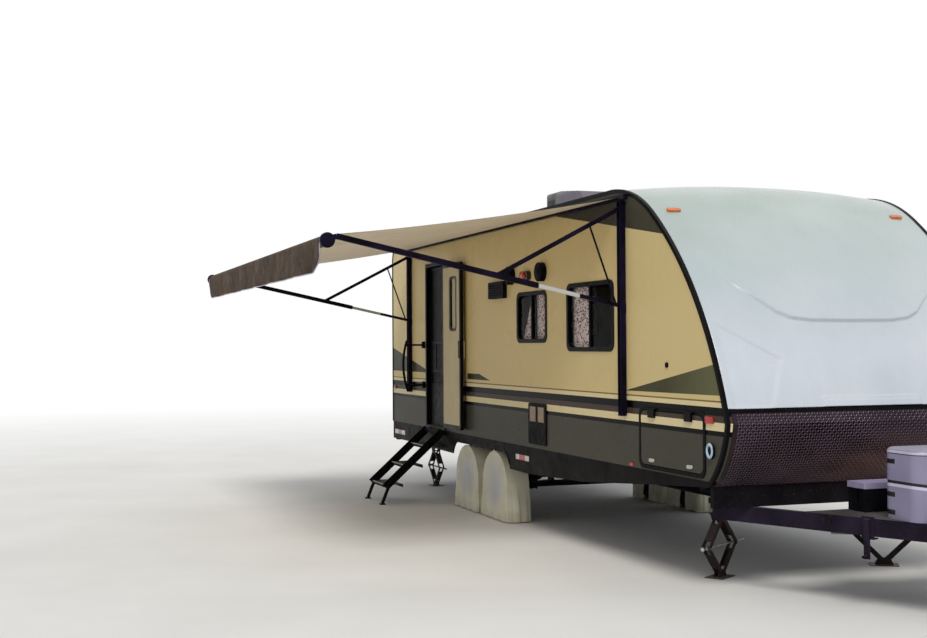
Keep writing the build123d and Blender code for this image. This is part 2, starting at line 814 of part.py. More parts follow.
def cover_profile(x, grow):
    """Side view of a wheel cover: round over the tyre, slightly flared down to the hem."""
    radius = tyre_radius + cover_clearance + grow
    centre = tyre_radius - cover_clearance
    hem = hem_z if grow else hem_z - cloth
    arch = ThreePointArc((x - radius, centre), (x, centre + radius), (x + radius, centre))
    foot = radius + hem_flare
    sides = Polyline((x + radius, centre), (x + foot, hem), (x - foot, hem), (x - radius, centre))
    return make_face(Curve() + [arch, sides])


def wheel_cover(x, y):
    """Fabric hood that hangs over a wheel from the top of the tyre to just off the ground."""
    hood = across(cover_profile(x, cloth), y - cover_half, y + cover_half)
    inside = across(cover_profile(x, 0), y - cover_half + cloth, y + cover_half - cloth)
    back = 1 if y < 0 else -1
    slot_y = y + back * (cover_half - cloth / 2)
    slot_top = tyre_radius + axle_radius + cover_slot_rise
    gap = slab((x - cover_slot / 2, x + cover_slot / 2), (slot_y - cloth, slot_y + cloth), (0, slot_top))
    return hood - inside - gap


# Coupler, jack, gas cover and battery on the drawbar

socket_radius = 29.75
socket_crown = 30
nose_half = 46
coupler_rear_x = -330
coupler_front_x = 45
coupler_neck_x = -100
coupler_depth = 95
lap_plate = 6
latch_block_x = (-150, -60)
latch_block = (14, 26)
latch_lever = ((-135, 22), (-230, 60))
lever_radius = 8


def drawbar_inner(x, gap=0):
    """Half of the clear width between the drawbar rails at one place along them."""
    return -x * slope + drawbar_spread - drawbar_width / 2 / cos(radians(drawbar_half_angle)) - gap


def coupler():
    """Coupler between the rails, with a lap plate on top, a latch and the ball socket below."""
    wedge = [
        (coupler_rear_x, drawbar_inner(coupler_rear_x, seam)),
        (drawbar_front_x, drawbar_inner(drawbar_front_x, seam)),
        (coupler_neck_x, nose_half),
        (coupler_front_x, nose_half),
    ]
    wedge += [(x, -y) for x, y in reversed(wedge)]
    housing = extrude(
        Pos(0, 0, rail_bottom_z - coupler_depth) * make_face(Polyline(*wedge, close=True)),
        amount=coupler_depth,
    )
    rail_reach = drawbar_width / cos(radians(drawbar_half_angle))
    lap = [
        (coupler_rear_x, drawbar_inner(coupler_rear_x) + rail_reach),
        (drawbar_front_x + 10, drawbar_inner(drawbar_front_x) + rail_reach),
        (coupler_neck_x, nose_half),
        (coupler_front_x, nose_half),
    ]
    lap += [(x, -y) for x, y in reversed(lap)]
    housing += extrude(Pos(0, 0, rail_bottom_z) * make_face(Polyline(*lap, close=True)), amount=lap_plate)
    top = rail_bottom_z + lap_plate
    housing += slab(latch_block_x, (-latch_block[0], latch_block[0]), (top, top + latch_block[1]))
    lever = [(x, 0, top + rise) for x, rise in latch_lever]
    housing += rod(*lever, lever_radius)
    mouth_z = rail_bottom_z - coupler_depth - 1
    return housing - rod((0, 0, mouth_z), (0, 0, ball_height + socket_crown), socket_radius)


jack_x = -430
jack_leg_radius = 27
jack_tube_bore = 28
jack_tube_radius = 32
jack_tube_foot_z = 330
jack_tube_height = 300
jack_flange = (75, 10)
jack_cap = (40, 30)
jack_head_x = (-70, 110)
jack_head_half = 60
jack_head_height = 130
jack_head_rounds = (30, 14)
jack_foot_disc = (90, 12)
jack_leg_lap = 55
jack_plate_x = (-561, coupler_rear_x - 1)
jack_plate_inset = 2


def tongue_jack_housing():
    """Outer tube of the drawbar jack with its mounting flange and drive head."""
    top = rail_bottom_z
    tube_top = top + jack_tube_height
    flange_z = (top + lap_plate, top + lap_plate + jack_flange[1])
    flange = rod((jack_x, 0, flange_z[0]), (jack_x, 0, flange_z[1]), jack_flange[0], jack_tube_bore + 2)
    tube = rod((jack_x, 0, jack_tube_foot_z), (jack_x, 0, tube_top), jack_tube_radius, jack_tube_bore)
    cap_top = tube_top + jack_cap[1]
    cap = rod((jack_x, 0, tube_top), (jack_x, 0, cap_top), jack_cap[0])
    head_x = [jack_x + reach for reach in jack_head_x]
    head = slab(head_x, (-jack_head_half, jack_head_half), (cap_top, cap_top + jack_head_height))
    head = fillet(head.edges().filter_by(Axis.Z), jack_head_rounds[0])
    head = fillet(head.faces().sort_by(Axis.Z)[-1].edges(), jack_head_rounds[1])
    return flange + tube + cap + head


def across_rails(x_rear, x_front, thickness, overhang):
    """Flat plate on top of the drawbar, its edges following the rails."""
    reach = drawbar_width / cos(radians(drawbar_half_angle)) + overhang
    half = [(x, drawbar_inner(x) + reach) for x in (x_rear, x_front)]
    points = half + [(x, -y) for x, y in reversed(half)]
    return extrude(Pos(0, 0, rail_bottom_z) * make_face(Polyline(*points, close=True)), amount=thickness)


def jack_bracket():
    """Plate across the drawbar that the jack flange bolts to."""
    plate = across_rails(*jack_plate_x, lap_plate, -jack_plate_inset)
    plate_z = (rail_bottom_z - 1, rail_bottom_z + lap_plate + 1)
    return plate - rod((jack_x, 0, plate_z[0]), (jack_x, 0, plate_z[1]), jack_tube_radius + 1)


def tongue_jack_leg():
    """Sliding inner tube of the drawbar jack, with its round foot."""
    disc_radius, disc_top = jack_foot_disc
    tube = rod((jack_x, 0, disc_top), (jack_x, 0, rail_bottom_z - jack_leg_lap), jack_leg_radius)
    return tube + rod((jack_x, 0, 0), (jack_x, 0, disc_top), disc_radius)


tray_rear_x = -1400
tray_thickness = 4
gas_x = (-970, -590)
gas_half_width = 360
gas_z = (rail_bottom_z + tray_thickness + seam, 1090)
gas_corner = 90
gas_top_round = 30
gas_skin = 5
gas_rim = 34
gas_rim_groove = 6
gas_groove = 3
gas_parting_z = 861
gas_parting_fall = 45
gas_parting_gap = 8
gas_slot_z = (664, 782, 1000)
gas_slot_half = 7
gas_slot_reach = (30, 10)


def gas_block(inset, z_high):
    """Rounded block of the gas cover, shrunk by an inset on every side but the bottom."""
    block = slab(
        (gas_x[0] + inset, gas_x[1] - inset),
        (-gas_half_width + inset, gas_half_width - inset),
        (gas_z[0], z_high - inset),
    )
    block = fillet(block.edges().filter_by(Axis.Z), gas_corner - inset)
    return fillet(block.faces().sort_by(Axis.Z)[-1].edges(), gas_top_round)


def gas_cover():
    """Moulded hood over the two gas bottles: lid rim, parting groove and corner slots."""
    block = gas_block(0, gas_z[1])
    skin_groove = block - gas_block(gas_groove, gas_z[1] + gas_groove)
    v_line = [
        (-gas_half_width, gas_parting_z),
        (0, gas_parting_z - gas_parting_fall),
        (gas_half_width, gas_parting_z),
        (gas_half_width, gas_parting_z + gas_parting_gap),
        (0, gas_parting_z - gas_parting_fall + gas_parting_gap),
        (-gas_half_width, gas_parting_z + gas_parting_gap),
    ]
    plane = Plane(origin=(gas_x[0] - 1, 0, 0), x_dir=(0, 1, 0), z_dir=(1, 0, 0))
    parting = extrude(plane * make_face(Polyline(*v_line, close=True)), amount=gas_x[1] - gas_x[0] + 2)
    whole_x = (gas_x[0] - 1, gas_x[1] + 1)
    whole_y = (-gas_half_width - 1, gas_half_width + 1)
    rim = slab(whole_x, whole_y, (gas_z[1] - gas_rim - gas_rim_groove, gas_z[1] - gas_rim))
    cover = block - (skin_groove & parting) - (skin_groove & rim)
    for z in gas_slot_z:
        for side in (-1, 1):
            edge_y = side * gas_half_width
            slot_x = (gas_x[0], gas_x[0] + gas_corner + gas_slot_reach[0])
            slot_y = sorted((edge_y, edge_y - side * (gas_corner - gas_slot_reach[1])))
            corner = slab(slot_x, slot_y, (z - gas_slot_half, z + gas_slot_half))
            cover -= skin_groove & corner
    hollow = gas_block(gas_skin, gas_z[1])
    floor_gap = slab(whole_x, whole_y, (gas_z[0] - 1, gas_z[0]))
    return cover - hollow - floor_gap


battery_x = (-1380, -1190)
battery_y = (-330, 10)
battery_z = (rail_bottom_z + tray_thickness, 820)
battery_lid = 40
battery_lid_round = 12
battery_strap = (19, 3)


def battery_box():
    """Closed box with an overhanging lid and a strap over it."""
    overhang = 8
    strap_half, strap_thickness = battery_strap
    box = slab(battery_x, battery_y, (battery_z[0], battery_z[1] - battery_lid))
    lid = slab(
        (battery_x[0] - overhang, battery_x[1] + overhang),
        (battery_y[0] - overhang, battery_y[1] + overhang),
        (battery_z[1] - battery_lid, battery_z[1]),
    )
    lid = fillet(lid.edges().filter_by(Axis.Z), battery_lid_round)
    middle = sum(battery_x) / 2
    lid_y = (battery_y[0] - overhang, battery_y[1] + overhang)
    strap_x = (middle - strap_half, middle + strap_half)
    strap_y = (lid_y[0] - strap_thickness, lid_y[1] + strap_thickness)
    strap = slab(strap_x, strap_y, (battery_z[0], battery_z[1] + strap_thickness))
    strap -= slab((strap_x[0] - 1, strap_x[1] + 1), lid_y, (0, battery_z[1]))
    return box + lid + strap


hitch_bracket_x = -945
hitch_bar = (38, 20)
hitch_bar_foot_z = 350
hitch_plate = (45, 10)
hitch_plate_z = (-20, 16)
hitch_hook = (75, 20, 9)
hitch_lip = 8


def hitch_bracket():
    """Clamp over the right drawbar rail with the bar that takes the spring-bar chain."""
    y = -drawbar_inner(hitch_bracket_x) - drawbar_width / cos(radians(drawbar_half_angle))
    plate_half, plate_thickness = hitch_plate
    plate_x = (-plate_half, plate_half)
    plate_z = (rail_bottom_z - drawbar_depth + hitch_plate_z[0], rail_bottom_z + hitch_plate_z[1])
    plate = slab(plate_x, (-plate_thickness, 0), plate_z)
    bar_y = (-plate_thickness - hitch_bar[1], -plate_thickness)
    bar = slab((-hitch_bar[0] / 2, hitch_bar[0] / 2), bar_y, (hitch_bar_foot_z, rail_bottom_z))
    hook_reach, hook_lift, hook_radius = hitch_hook
    hook_z = hitch_bar_foot_z + hook_lift
    hook = rod((0, bar_y[0], hook_z), (0, -hook_reach, hook_z), hook_radius)
    lip = slab(plate_x, (0, drawbar_width), (plate_z[0], plate_z[0] + hitch_lip))
    turn = Rot(0, 0, drawbar_half_angle)
    return Pos(hitch_bracket_x, y, 0) * turn * (plate + bar + hook + lip)


# Skirts under the side walls

skirt_foot = (
    (foot_x - 6, plate_foot_z - 3),
    (-2490, 714),
    (-3180, 657),
    (-3900, 598),
    (-5160, 550),
    (-9060, 590),
    (rear_x, 590),
)
arch_clearance = 115
arch_half = (axle_x[0] - axle_x[1]) / 2 + tyre_radius + arch_clearance
arch_strip = 90
arch_top_z = sill_z - arch_strip
arch_reach = 1000
arch_radius = 220
arch_rim = 28
arch_rim_proud = 5
arch_rim_foot_z = 600


def skirt():
    """Right-hand skirt: rises towards the front corner and is cut away over the wheels."""
    middle = sum(axle_x) / 2
    face = make_face(Polyline((rear_x, sill_z), (foot_x + 40, sill_z), *skirt_foot, close=True))
    arch = RectangleRounded(2 * arch_half, arch_reach, arch_radius)
    arch = Pos(middle, arch_top_z - arch_reach / 2) * arch
    panel = across(face - arch, -skirt_outer_y, -skirt_inner_y)
    rim = (offset(arch, arch_rim) - arch) & side_rectangle(rear_x, foot_x, arch_rim_foot_z, sill_z)
    return panel + across(rim, -skirt_outer_y - arch_rim_proud, -skirt_outer_y)


bumper_size = 100
bumper_wall = 4
bumper_gap = 15
bumper_drop = 55
bumper_half_length = body_half_width - 70


def rear_bumper():
    """Square-tube bumper on two stubs welded to the rails, open at both ends."""
    x_range = (rear_x - bumper_gap - bumper_size, rear_x - bumper_gap)
    z_range = (rail_bottom_z - bumper_drop, rail_bottom_z - bumper_drop + bumper_size)
    tube = slab(x_range, (-bumper_half_length, bumper_half_length), z_range)
    tube -= slab(
        (x_range[0] + bumper_wall, x_range[1] - bumper_wall),
        (-bumper_half_length - 1, bumper_half_length + 1),
        (z_range[0] + bumper_wall, z_range[1] - bumper_wall),
    )
    for side in (-1, 1):
        stub_y = (side * rail_y - rail_width / 2, side * rail_y + rail_width / 2)
        tube += slab((x_range[1], rear_x), stub_y, (rail_bottom_z, z_range[1]))
    return tube


# Awning, out on its arms on the right-hand side

channel_x = (-3060, -8980)
channel_z = (1210, roof_z - 110)
channel_half = 28
channel_depth = 48.7
channel_wall = 6
channel_end = 10
channel_feet = (60, 120, 40)
channel_y = (-body_half_width - trim_proud - seam - channel_depth, -body_half_width - trim_proud - seam)
awning_rail_z = (roof_z - 100, roof_z - 60)
awning_rail_y = -body_half_width - 42
awning_rail_end = 70
roller = (-body_half_width - 2440, roof_z - 475)
roller_radius = 42
elbow = (-body_half_width - 2370, roof_z - 445)
arm_foot = (-body_half_width - 30, 2090)
rafter_head = (-body_half_width - 30, roof_z - 165)
rafter_foot_share = 0.457
strut_head_share = 0.26
strut_foot_share = 0.02
overlap_shares = (0.31, 0.4)
# Width and depth of each bar of an arm
inner_arm = (22, 30)
outer_arm = (32, 44)
rafter = (24, 34)
head_depth = 40
head_half = 13
head_disc_proud = 16
strut_radius = 8
arm_pin = 12
fabric_edge = 30
fabric_thickness = 3
valance_drop = 230
valance_lap = 10


def along(start, end, share):
    """A point part of the way from one point to another, in the Y-Z plane."""
    return tuple(low + (high - low) * share for low, high in zip(start, end))


def awning_channel(x):
    """Wall channel that carries the arms, on three feet."""
    channel = slab((x - channel_half, x + channel_half), channel_y, channel_z)
    channel -= slab(
        (x - channel_half + channel_wall, x + channel_half - channel_wall),
        (channel_y[0] - 1, channel_y[1] - channel_wall),
        (channel_z[0] + channel_end, channel_z[1] - channel_end),
    )
    low_foot, high_foot, foot_half = channel_feet
    for z in (channel_z[0] + low_foot, sum(channel_z) / 2, channel_z[1] - high_foot):
        foot_x_range = (x - channel_half + channel_wall, x + channel_half - channel_wall)
        channel += slab(foot_x_range, (channel_y[1], -body_half_width), (z - foot_half, z + foot_half))
    return channel


def awning_rail():
    """Extrusion along the top of the wall that holds the edge of the fabric.

    Its back is seated on the wall up to the brow, where the edge moulding passes behind it.
    """
    rear, front = channel_x[1] - awning_rail_end, channel_x[0] + awning_rail_end
    rail = slab((rear, front), (awning_rail_y, channel_y[1]), awning_rail_z)
    return rail + slab((rear, brow_x), (channel_y[1], -body_half_width), awning_rail_z)


def awning_arm(x):
    """Telescopic arm from the channel to the roller, the rafter above it and its strut."""
    thick_start, thin_end = [along(arm_foot, elbow, share) for share in overlap_shares]
    joint = along(arm_foot, elbow, rafter_foot_share)
    strut_head = along(rafter_head, joint, strut_head_share)
    arm = beam((x, *arm_foot), (x, *thin_end), *inner_arm)
    arm += beam((x, *thick_start), (x, *elbow), *outer_arm)
    arm += beam((x, *elbow), (x, *roller), 2 * head_half, head_depth)
    arm += rod((x - head_half, *roller), (x + head_half, *roller), roller_radius + head_disc_proud)
    arm += beam((x, *rafter_head), (x, *joint), *rafter)
    arm += rod((x, *along(arm_foot, elbow, strut_foot_share)), (x, *strut_head), strut_radius)
    pin_half = channel_half - channel_wall - seam
    for point in (arm_foot, rafter_head):
        arm += rod((x - pin_half, *point), (x + pin_half, *point), arm_pin)
    back_y = (channel_y[1] - channel_wall + seam, -body_half_width)
    return arm - slab((x - channel_half, x + channel_half), back_y, (channel_z[0], roof_z))


def awning_roller():
    """Roller tube between the two arm heads."""
    low = channel_x[1] + head_half + seam
    high = channel_x[0] - head_half - seam
    return rod((low, *roller), (high, *roller), roller_radius)


def awning_fabric():
    """The stretched sheet from the rail to the top of the roller, and the hanging valance."""
    x_range = (channel_x[1] + head_half + fabric_edge, channel_x[0] - head_half - fabric_edge)
    start = (awning_rail_y - seam, sum(awning_rail_z) / 2)
    end = (roller[0], roller[1] + roller_radius + seam + fabric_thickness / 2)
    length = hypot(end[0] - start[0], end[1] - start[1])
    middle = ((x_range[0] + x_range[1]) / 2, (start[0] + end[0]) / 2, (start[1] + end[1]) / 2)
    plane = Plane(origin=middle, x_dir=(0, end[0] - start[0], end[1] - start[1]), z_dir=(1, 0, 0))
    sheet = plane * Box(length - fabric_thickness, fabric_thickness, x_range[1] - x_range[0])
    edge_y = roller[0] - roller_radius - seam
    valance_z = (roller[1] - valance_drop, roller[1] + valance_lap)
    valance = slab(x_range, (edge_y - fabric_thickness, edge_y), valance_z)
    return [sheet, valance]


# Roof units

curb_sink = 20

# Air conditioner: its side view as places along the roof and heights above its rim,
# its half width, the clear gap under the rim and the rounding in side, front and top view
cooler_profile = ((-6790, 0), (-6790, 326), (-6430, 320), (-5850, 258), (-5660, 120), (-5640, 0))
cooler_x = (cooler_profile[0][0], cooler_profile[-1][0])
cooler_half_width = 355
cooler_gap = 12
cooler_curb_half = 180
cooler_rounds = (45, 80, 110)
# Upright slots in the sides of the air conditioner
cooler_slots = 8
slot_first_inset = 80
slot_pitch = 30
slot_width = 13
slot_depth = 12
slot_lift = (60, 235)


def cooler_curb(clearance=0):
    """Square base that the air conditioner stands on, let into the roof."""
    middle = sum(cooler_x) / 2
    half = cooler_curb_half + clearance
    crown_z = roof_z + roof_crown
    return slab(
        (middle - half, middle + half), (-half, half), (crown_z - curb_sink - clearance, crown_z + cooler_gap)
    )


def air_conditioner():
    """Moulded shroud on its base: higher at the rear, with upright slots in both sides."""
    low = roof_z + roof_crown + cooler_gap
    side_round, front_round, top_round = cooler_rounds
    length, width = cooler_x[1] - cooler_x[0], 2 * cooler_half_width
    height = max(rise for x, rise in cooler_profile)
    side_view = make_face(Polyline(*[(x, low + rise) for x, rise in cooler_profile], close=True))
    bends = [vertex for vertex in side_view.vertices() if vertex.Y > low + 1]
    side_view = fillet(bends, side_round)
    shroud = across(side_view, -cooler_half_width, cooler_half_width)
    top_view = Pos(sum(cooler_x) / 2, 0, low) * RectangleRounded(length, width, top_round)
    shroud &= extrude(top_view, amount=height)
    # The front view is rounded below as well, and reaches down past the rim to leave it whole
    front_plane = Plane(origin=(cooler_x[0], 0, low), x_dir=(0, 1, 0), z_dir=(1, 0, 0))
    front_view = RectangleRounded(width, 2 * height, front_round)
    shroud &= extrude(front_plane * front_view, amount=length)
    for number in range(cooler_slots):
        x = cooler_x[0] + slot_first_inset + number * slot_pitch
        for side in (-1, 1):
            face_y = side * cooler_half_width
            slot_y = sorted((face_y, face_y - side * slot_depth))
            shroud -= slab((x, x + slot_width), slot_y, [low + lift for lift in slot_lift])
    return shroud + cooler_curb()


# Roof vents: middle x, middle y, size, height of the lid
vents = [(-8160, -750, 380, 95), (-4600, 0, 380, 55)]
vent_curb_inset = 25
vent_lift = 2 * curb_sink
vent_rounds = (40, 30)


def vent_curb(x, y, size, clearance=0):
    """Square curb of a roof vent, let into the crowned roof."""
    half = size / 2 - vent_curb_inset + clearance
    top = roof_z + crown_at(y)
    curb_z = (top - curb_sink - clearance, top + vent_lift)
    return slab((x - half, x + half), (y - half, y + half), curb_z)


def roof_vent(x, y, size, height):
    """Square lid with rounded corners on its curb."""
    half = size / 2
    low = roof_z + crown_at(y) + vent_lift
    lid = slab((x - half, x + half), (y - half, y + half), (low, low + height))
    lid = fillet(lid.edges().filter_by(Axis.Z), vent_rounds[0])
    return vent_curb(x, y, size) + fillet(lid.faces().sort_by(Axis.Z)[-1].edges(), vent_rounds[1])


roof -= cooler_curb(seam)
for vent_x, vent_y, vent_size, vent_height in vents:
    roof -= vent_curb(vent_x, vent_y, vent_size, seam)


# What is fixed on the walls: side, middle x, middle z, width, height, corner, depth, slots
wall_units = [
    (-1, -5551, 2462, 176, 176, 87, 48, 0),
    (-1, -4758, 2458, 176, 176, 87, 48, 0),
    (-1, -5905, 2335, 425, 170, 20, 45, 5),
    (-1, -4902, 1040, 425, 385, 25, 14, 0),
    (-1, -2359, 1626, 42, 42, 20, 8, 0),
    (-1, -1712, 1030, 96, 112, 46, 16, 0),
    (1, -5000, 1045, 400, 380, 25, 14, 0),
    (1, -8160, 1180, 520, 300, 20, 16, 8),
    (1, -2359, 1626, 42, 42, 20, 8, 0),
]
unit_slot_share = 0.42
unit_slot_height = 9
unit_slot_pitch = 24

# Lamps and reflectors on the walls, in the same columns without the slots
wall_lamps = [
    (-1, -5156, 2442, 200, 90, 40, 42),
    (-1, -1731, 1247, 110, 50, 8, 12),
    (-1, -2957, 832, 60, 26, 6, 8),
    (-1, -9700, 1247, 60, 40, 8, 12),
    (1, -1731, 1247, 110, 50, 8, 12),
    (1, -2957, 832, 60, 26, 6, 8),
    (1, -9700, 1247, 60, 40, 8, 12),
]

# Lamps on the rear wall: middle y, middle z, width, height
rear_lamps = [
    (-1030, 1150, 90, 260),
    (1030, 1150, 90, 260),
    (-1050, 2760, 100, 40),
    (1050, 2760, 100, 40),
    (-180, 2760, 100, 40),
    (0, 2760, 100, 40),
    (180, 2760, 100, 40),
]
rear_lamp_proud = 18
rear_lamp_round = 0.3


def wall_unit(side, x, z, width, height, corner, depth, slots=0):
    """Rounded block on a side wall, drawn on the right, with level slots cut in its face."""
    block = across(
        Pos(x, z) * RectangleRounded(width, height, corner), -body_half_width - depth, -body_half_width
    )
    for row in range(slots):
        slot_z = z + (row - (slots - 1) / 2) * unit_slot_pitch
        block -= slab(
            (x - unit_slot_share * width, x + unit_slot_share * width),
            (-body_half_width - depth, -body_half_width - depth / 2),
            (slot_z - unit_slot_height / 2, slot_z + unit_slot_height / 2),
        )
    return block if side < 0 else left(block)


def rear_lamp(y, z, width, height):
    """Rounded lamp on the rear wall."""
    plane = Plane(origin=(rear_x, y, z), x_dir=(0, 1, 0), z_dir=(-1, 0, 0))
    corner = rear_lamp_round * min(width, height)
    return extrude(plane * RectangleRounded(width, height, corner), amount=rear_lamp_proud)


# Entrance steps and grab handle

step_x = (-8300, -7720)
step_top = (-body_half_width - 20, sill_z - 10)
step_foot = (-body_half_width - 700, 190)
tread_shares = (0.29, 0.64, 0.985)
tread_depth = 200
tread_half_thickness = 18
tread_skin = 3
stringer = 6
stringer_depth = 90
step_leg = 30
leg_share = 0.93
leg_reach = 40
leg_pad_z = (2, 14)
step_hook = (55, 40, 5)


def entry_steps():
    """Two stringers hooked under the doorway, three treads and two legs to the ground."""
    hook_reach, hook_low, hook_high = step_hook
    hook_y = (-body_half_width - hook_reach, -skirt_outer_y)
    pieces = [slab(step_x, hook_y, (sill_z - hook_low, sill_z - hook_high))]
    inboard = slab((step_x[0] - step_leg, step_x[1] + step_leg), (-skirt_outer_y, 0), (0, roof_z))
    leg_top = along(step_top, step_foot, leg_share)
    leg_y = step_foot[0] - leg_reach
    for edge_x, outward in zip(step_x, (-1, 1)):
        x = edge_x + outward * stringer / 2
        leg_x = edge_x + outward * (stringer + step_leg / 2)
        side = beam((x, *step_top), (x, *step_foot), stringer, stringer_depth) - inboard
        side += beam((leg_x, *leg_top), (leg_x, leg_y, leg_pad_z[1]), step_leg, step_leg)
        pad_x = (leg_x - step_leg, leg_x + step_leg)
        side += slab(pad_x, (leg_y - step_leg, leg_y + step_leg), leg_pad_z)
        pieces.append(side)
    for share in tread_shares:
        y, z = along(step_top, step_foot, share)
        tread_y = (y, y + tread_depth)
        tread = slab(step_x, tread_y, (z - tread_half_thickness, z + tread_half_thickness))
        hollow_y = (tread_y[0] + tread_skin, tread_y[1] - tread_skin)
        hollow_z = (z - tread_half_thickness, z + tread_half_thickness - tread_skin)
        tread -= slab(step_x, hollow_y, hollow_z)
        pieces.append(tread)
    return pieces


handle_x = -8450
handle_top = (-body_half_width - 220, 1840)
handle_foot = (-body_half_width - 210, 1240)
handle_bow = (-body_half_width - 265, 1540)
bracket_heights = (1310, 1787)
bracket_half = (22, 40)
bracket_depth = 30
bracket_arm = (20, 232, 11)
handle_radius = 14


def grab_handle():
    """Folding handrail swung out beside the doorway: two brackets and a bowed grip."""
    bow = ThreePointArc((handle_x, *handle_top), (handle_x, *handle_bow), (handle_x, *handle_foot))
    handle = sweep(Plane(origin=bow @ 0, z_dir=bow % 0) * Circle(handle_radius), path=bow)
    half_width, half_height = bracket_half
    arm_start, arm_end_reach, arm_radius = bracket_arm
    for z in bracket_heights:
        handle += slab(
            (handle_x - half_width, handle_x + half_width),
            (-body_half_width - bracket_depth, -body_half_width),
            (z - half_height, z + half_height),
        )
        arm_ends = [(handle_x, -body_half_width - reach, z) for reach in (arm_start, arm_end_reach)]
        handle += rod(*arm_ends, arm_radius)
    return handle


# Scissor jacks under the four corners

jack_arm = 280
jack_pin = 6
pin_clearance = 0.3
screw_inboard = 632
twin_offset = 24
jack_top_z = 440
jack_foot_z = 46
jack_rise = (jack_top_z - jack_foot_z) / 2
jack_run = sqrt(jack_arm**2 - jack_rise**2)
trunnion_x = twin_offset + jack_run
trunnion_z = jack_foot_z + jack_rise
arm_end = 18
cheek = 4
upper_cheek_y = 28
lower_cheek_y = 22
foot_ear_y = 16
base_ear_y = 34
pin_end = 6
web_gap = 110
screw_radius = 8
screw_end = 55
drive_nut = (30, 60, 15)
trunnion = (20, 13)
foot_half = (110, 75)
foot_plate_z = (1, 6)
foot_ear_half = (75, 45)
foot_ear_rise = 12
mount_plate_half = (85, 45)
mount_plate = 6
mount_rise = 45
mount_ear_half = (80, 45)
mount_ear_drop = 14
mount_post_half = 35


def jack_link(start, end, cheek_y, web_side, bored=(-1, 1)):
    """One folded-sheet arm between two pins: two cheeks and a web along one edge."""
    (x0, z0), (x1, z1) = start, end
    face = SlotCenterToCenter(hypot(x1 - x0, z1 - z0), 2 * arm_end)
    for end_side in bored:
        face -= Pos(end_side * jack_arm / 2, 0) * Circle(jack_pin + pin_clearance)
    middle = ((x0 + x1) / 2, 0, (z0 + z1) / 2)
    plane = Plane(origin=middle, x_dir=(x1 - x0, 0, z1 - z0), z_dir=(0, -1, 0))
    link = extrude(plane.offset(cheek_y) * face, amount=cheek)
    link += extrude(plane.offset(-cheek_y - cheek) * face, amount=cheek)
    web = Pos(0, web_side * (arm_end - cheek / 2)) * Rectangle(jack_arm - web_gap, cheek)
    return link + extrude(plane.offset(-cheek_y) * web, amount=2 * cheek_y)


def pin_across(x, z, low, high, radius=jack_pin):
    """Pin along Y through a joint of the jack."""
    return rod((x, low, z), (x, high, z), radius)


def ear_pair(profile, inner_y):
    """Two upright plates of one outline, facing each other across the jack's middle."""
    plate = make_face(Polyline(*profile, close=True))
    return across(plate, inner_y, inner_y + cheek) + across(plate, -inner_y - cheek, -inner_y)


def jack_screw():
    """Screw with its drive nut, and the outer trunnion that it turns in."""
    inner_x, outer_x = trunnion_x - screw_inboard, trunnion_x + screw_end
    screw = rod((inner_x, 0, trunnion_z), (outer_x, 0, trunnion_z), screw_radius)
    nut_start, nut_end, nut_radius = drive_nut
    screw += rod((trunnion_x + nut_start, 0, trunnion_z), (trunnion_x + nut_end, 0, trunnion_z), nut_radius)
    block_half, block_radius = trunnion
    screw += pin_across(trunnion_x, trunnion_z, -block_half, block_half, block_radius)
    pin_half = upper_cheek_y + pin_end
    return screw + pin_across(trunnion_x, trunnion_z, -pin_half, pin_half)


def jack_foot():
    """Foot plate with two ears and the twin pins of the lower arms."""
    plate = slab((-foot_half[0], foot_half[0]), (-foot_half[1], foot_half[1]), foot_plate_z)
    low, top = foot_plate_z[1] - 1, jack_foot_z + foot_ear_rise
    wide, narrow = foot_ear_half
    foot = plate + ear_pair([(-wide, low), (wide, low), (narrow, top), (-narrow, top)], foot_ear_y)
    pin_half = lower_cheek_y + pin_end
    for x in (-twin_offset, twin_offset):
        foot += pin_across(x, jack_foot_z, -pin_half, pin_half)
    return foot


def jack_mount():
    """Bracket under the rail with two ears and the twin pins of the upper arms."""
    top = jack_top_z + mount_rise
    low = jack_top_z - mount_ear_drop
    wide, narrow = mount_ear_half
    half_x, half_y = mount_plate_half
    post = (-mount_post_half, mount_post_half)
    mount = slab((-half_x, half_x), (-half_y, half_y), (top, top + mount_plate))
    mount += ear_pair([(-wide, top), (-narrow, low), (narrow, low), (wide, top)], base_ear_y)
    mount += slab(post, post, (top + mount_plate, rail_bottom_z))
    pin_half = base_ear_y + pin_end
    for x in (-twin_offset, twin_offset):
        mount += pin_across(x, jack_top_z, -pin_half, pin_half)
    return mount


def jack_parts():
    """One jack in its own frame, parked on the ground, its screw along X."""
    outer_side = (trunnion_x, trunnion_z)
    inner_side = (-trunnion_x, trunnion_z)
    upper_inner = jack_link(inner_side, (-twin_offset, jack_top_z), upper_cheek_y, 1, bored=(1,))
    for side in (-1, 1):
        low, high = sorted((side * (screw_radius + 2), side * (upper_cheek_y + 1)))
        upper_inner += pin_across(-trunnion_x, trunnion_z, low, high)
    return {
        "mount": jack_mount(),
        "upper_outer": jack_link((twin_offset, jack_top_z), outer_side, upper_cheek_y, 1),
        "lower_outer": jack_link((twin_offset, jack_foot_z), outer_side, lower_cheek_y, -1),
        "upper_inner": upper_inner,
        "lower_inner": jack_link(inner_side, (-twin_offset, jack_foot_z), lower_cheek_y, -1),
        "screw": jack_screw(),
        "foot": jack_foot(),
    }


# Jacks: name, middle x, middle y, bearing of the drive nut in degrees from straight ahead
front_jacks = [
    ("front_right", -2420, -750, -57),
    ("front_left", -2420, 750, 57),
]
rear_jacks = [
    ("rear_right", -9350, -790, 180),
    ("rear_left", -9350, 790, 180),
]
parked_jack = jack_parts()


def placed_jack(x, y, bearing):
    """All pieces of one jack where it stands under the vehicle."""
    return {name: Pos(x, y, 0) * Rot(0, 0, bearing) * piece for name, piece in parked_jack.items()}


# Write every node

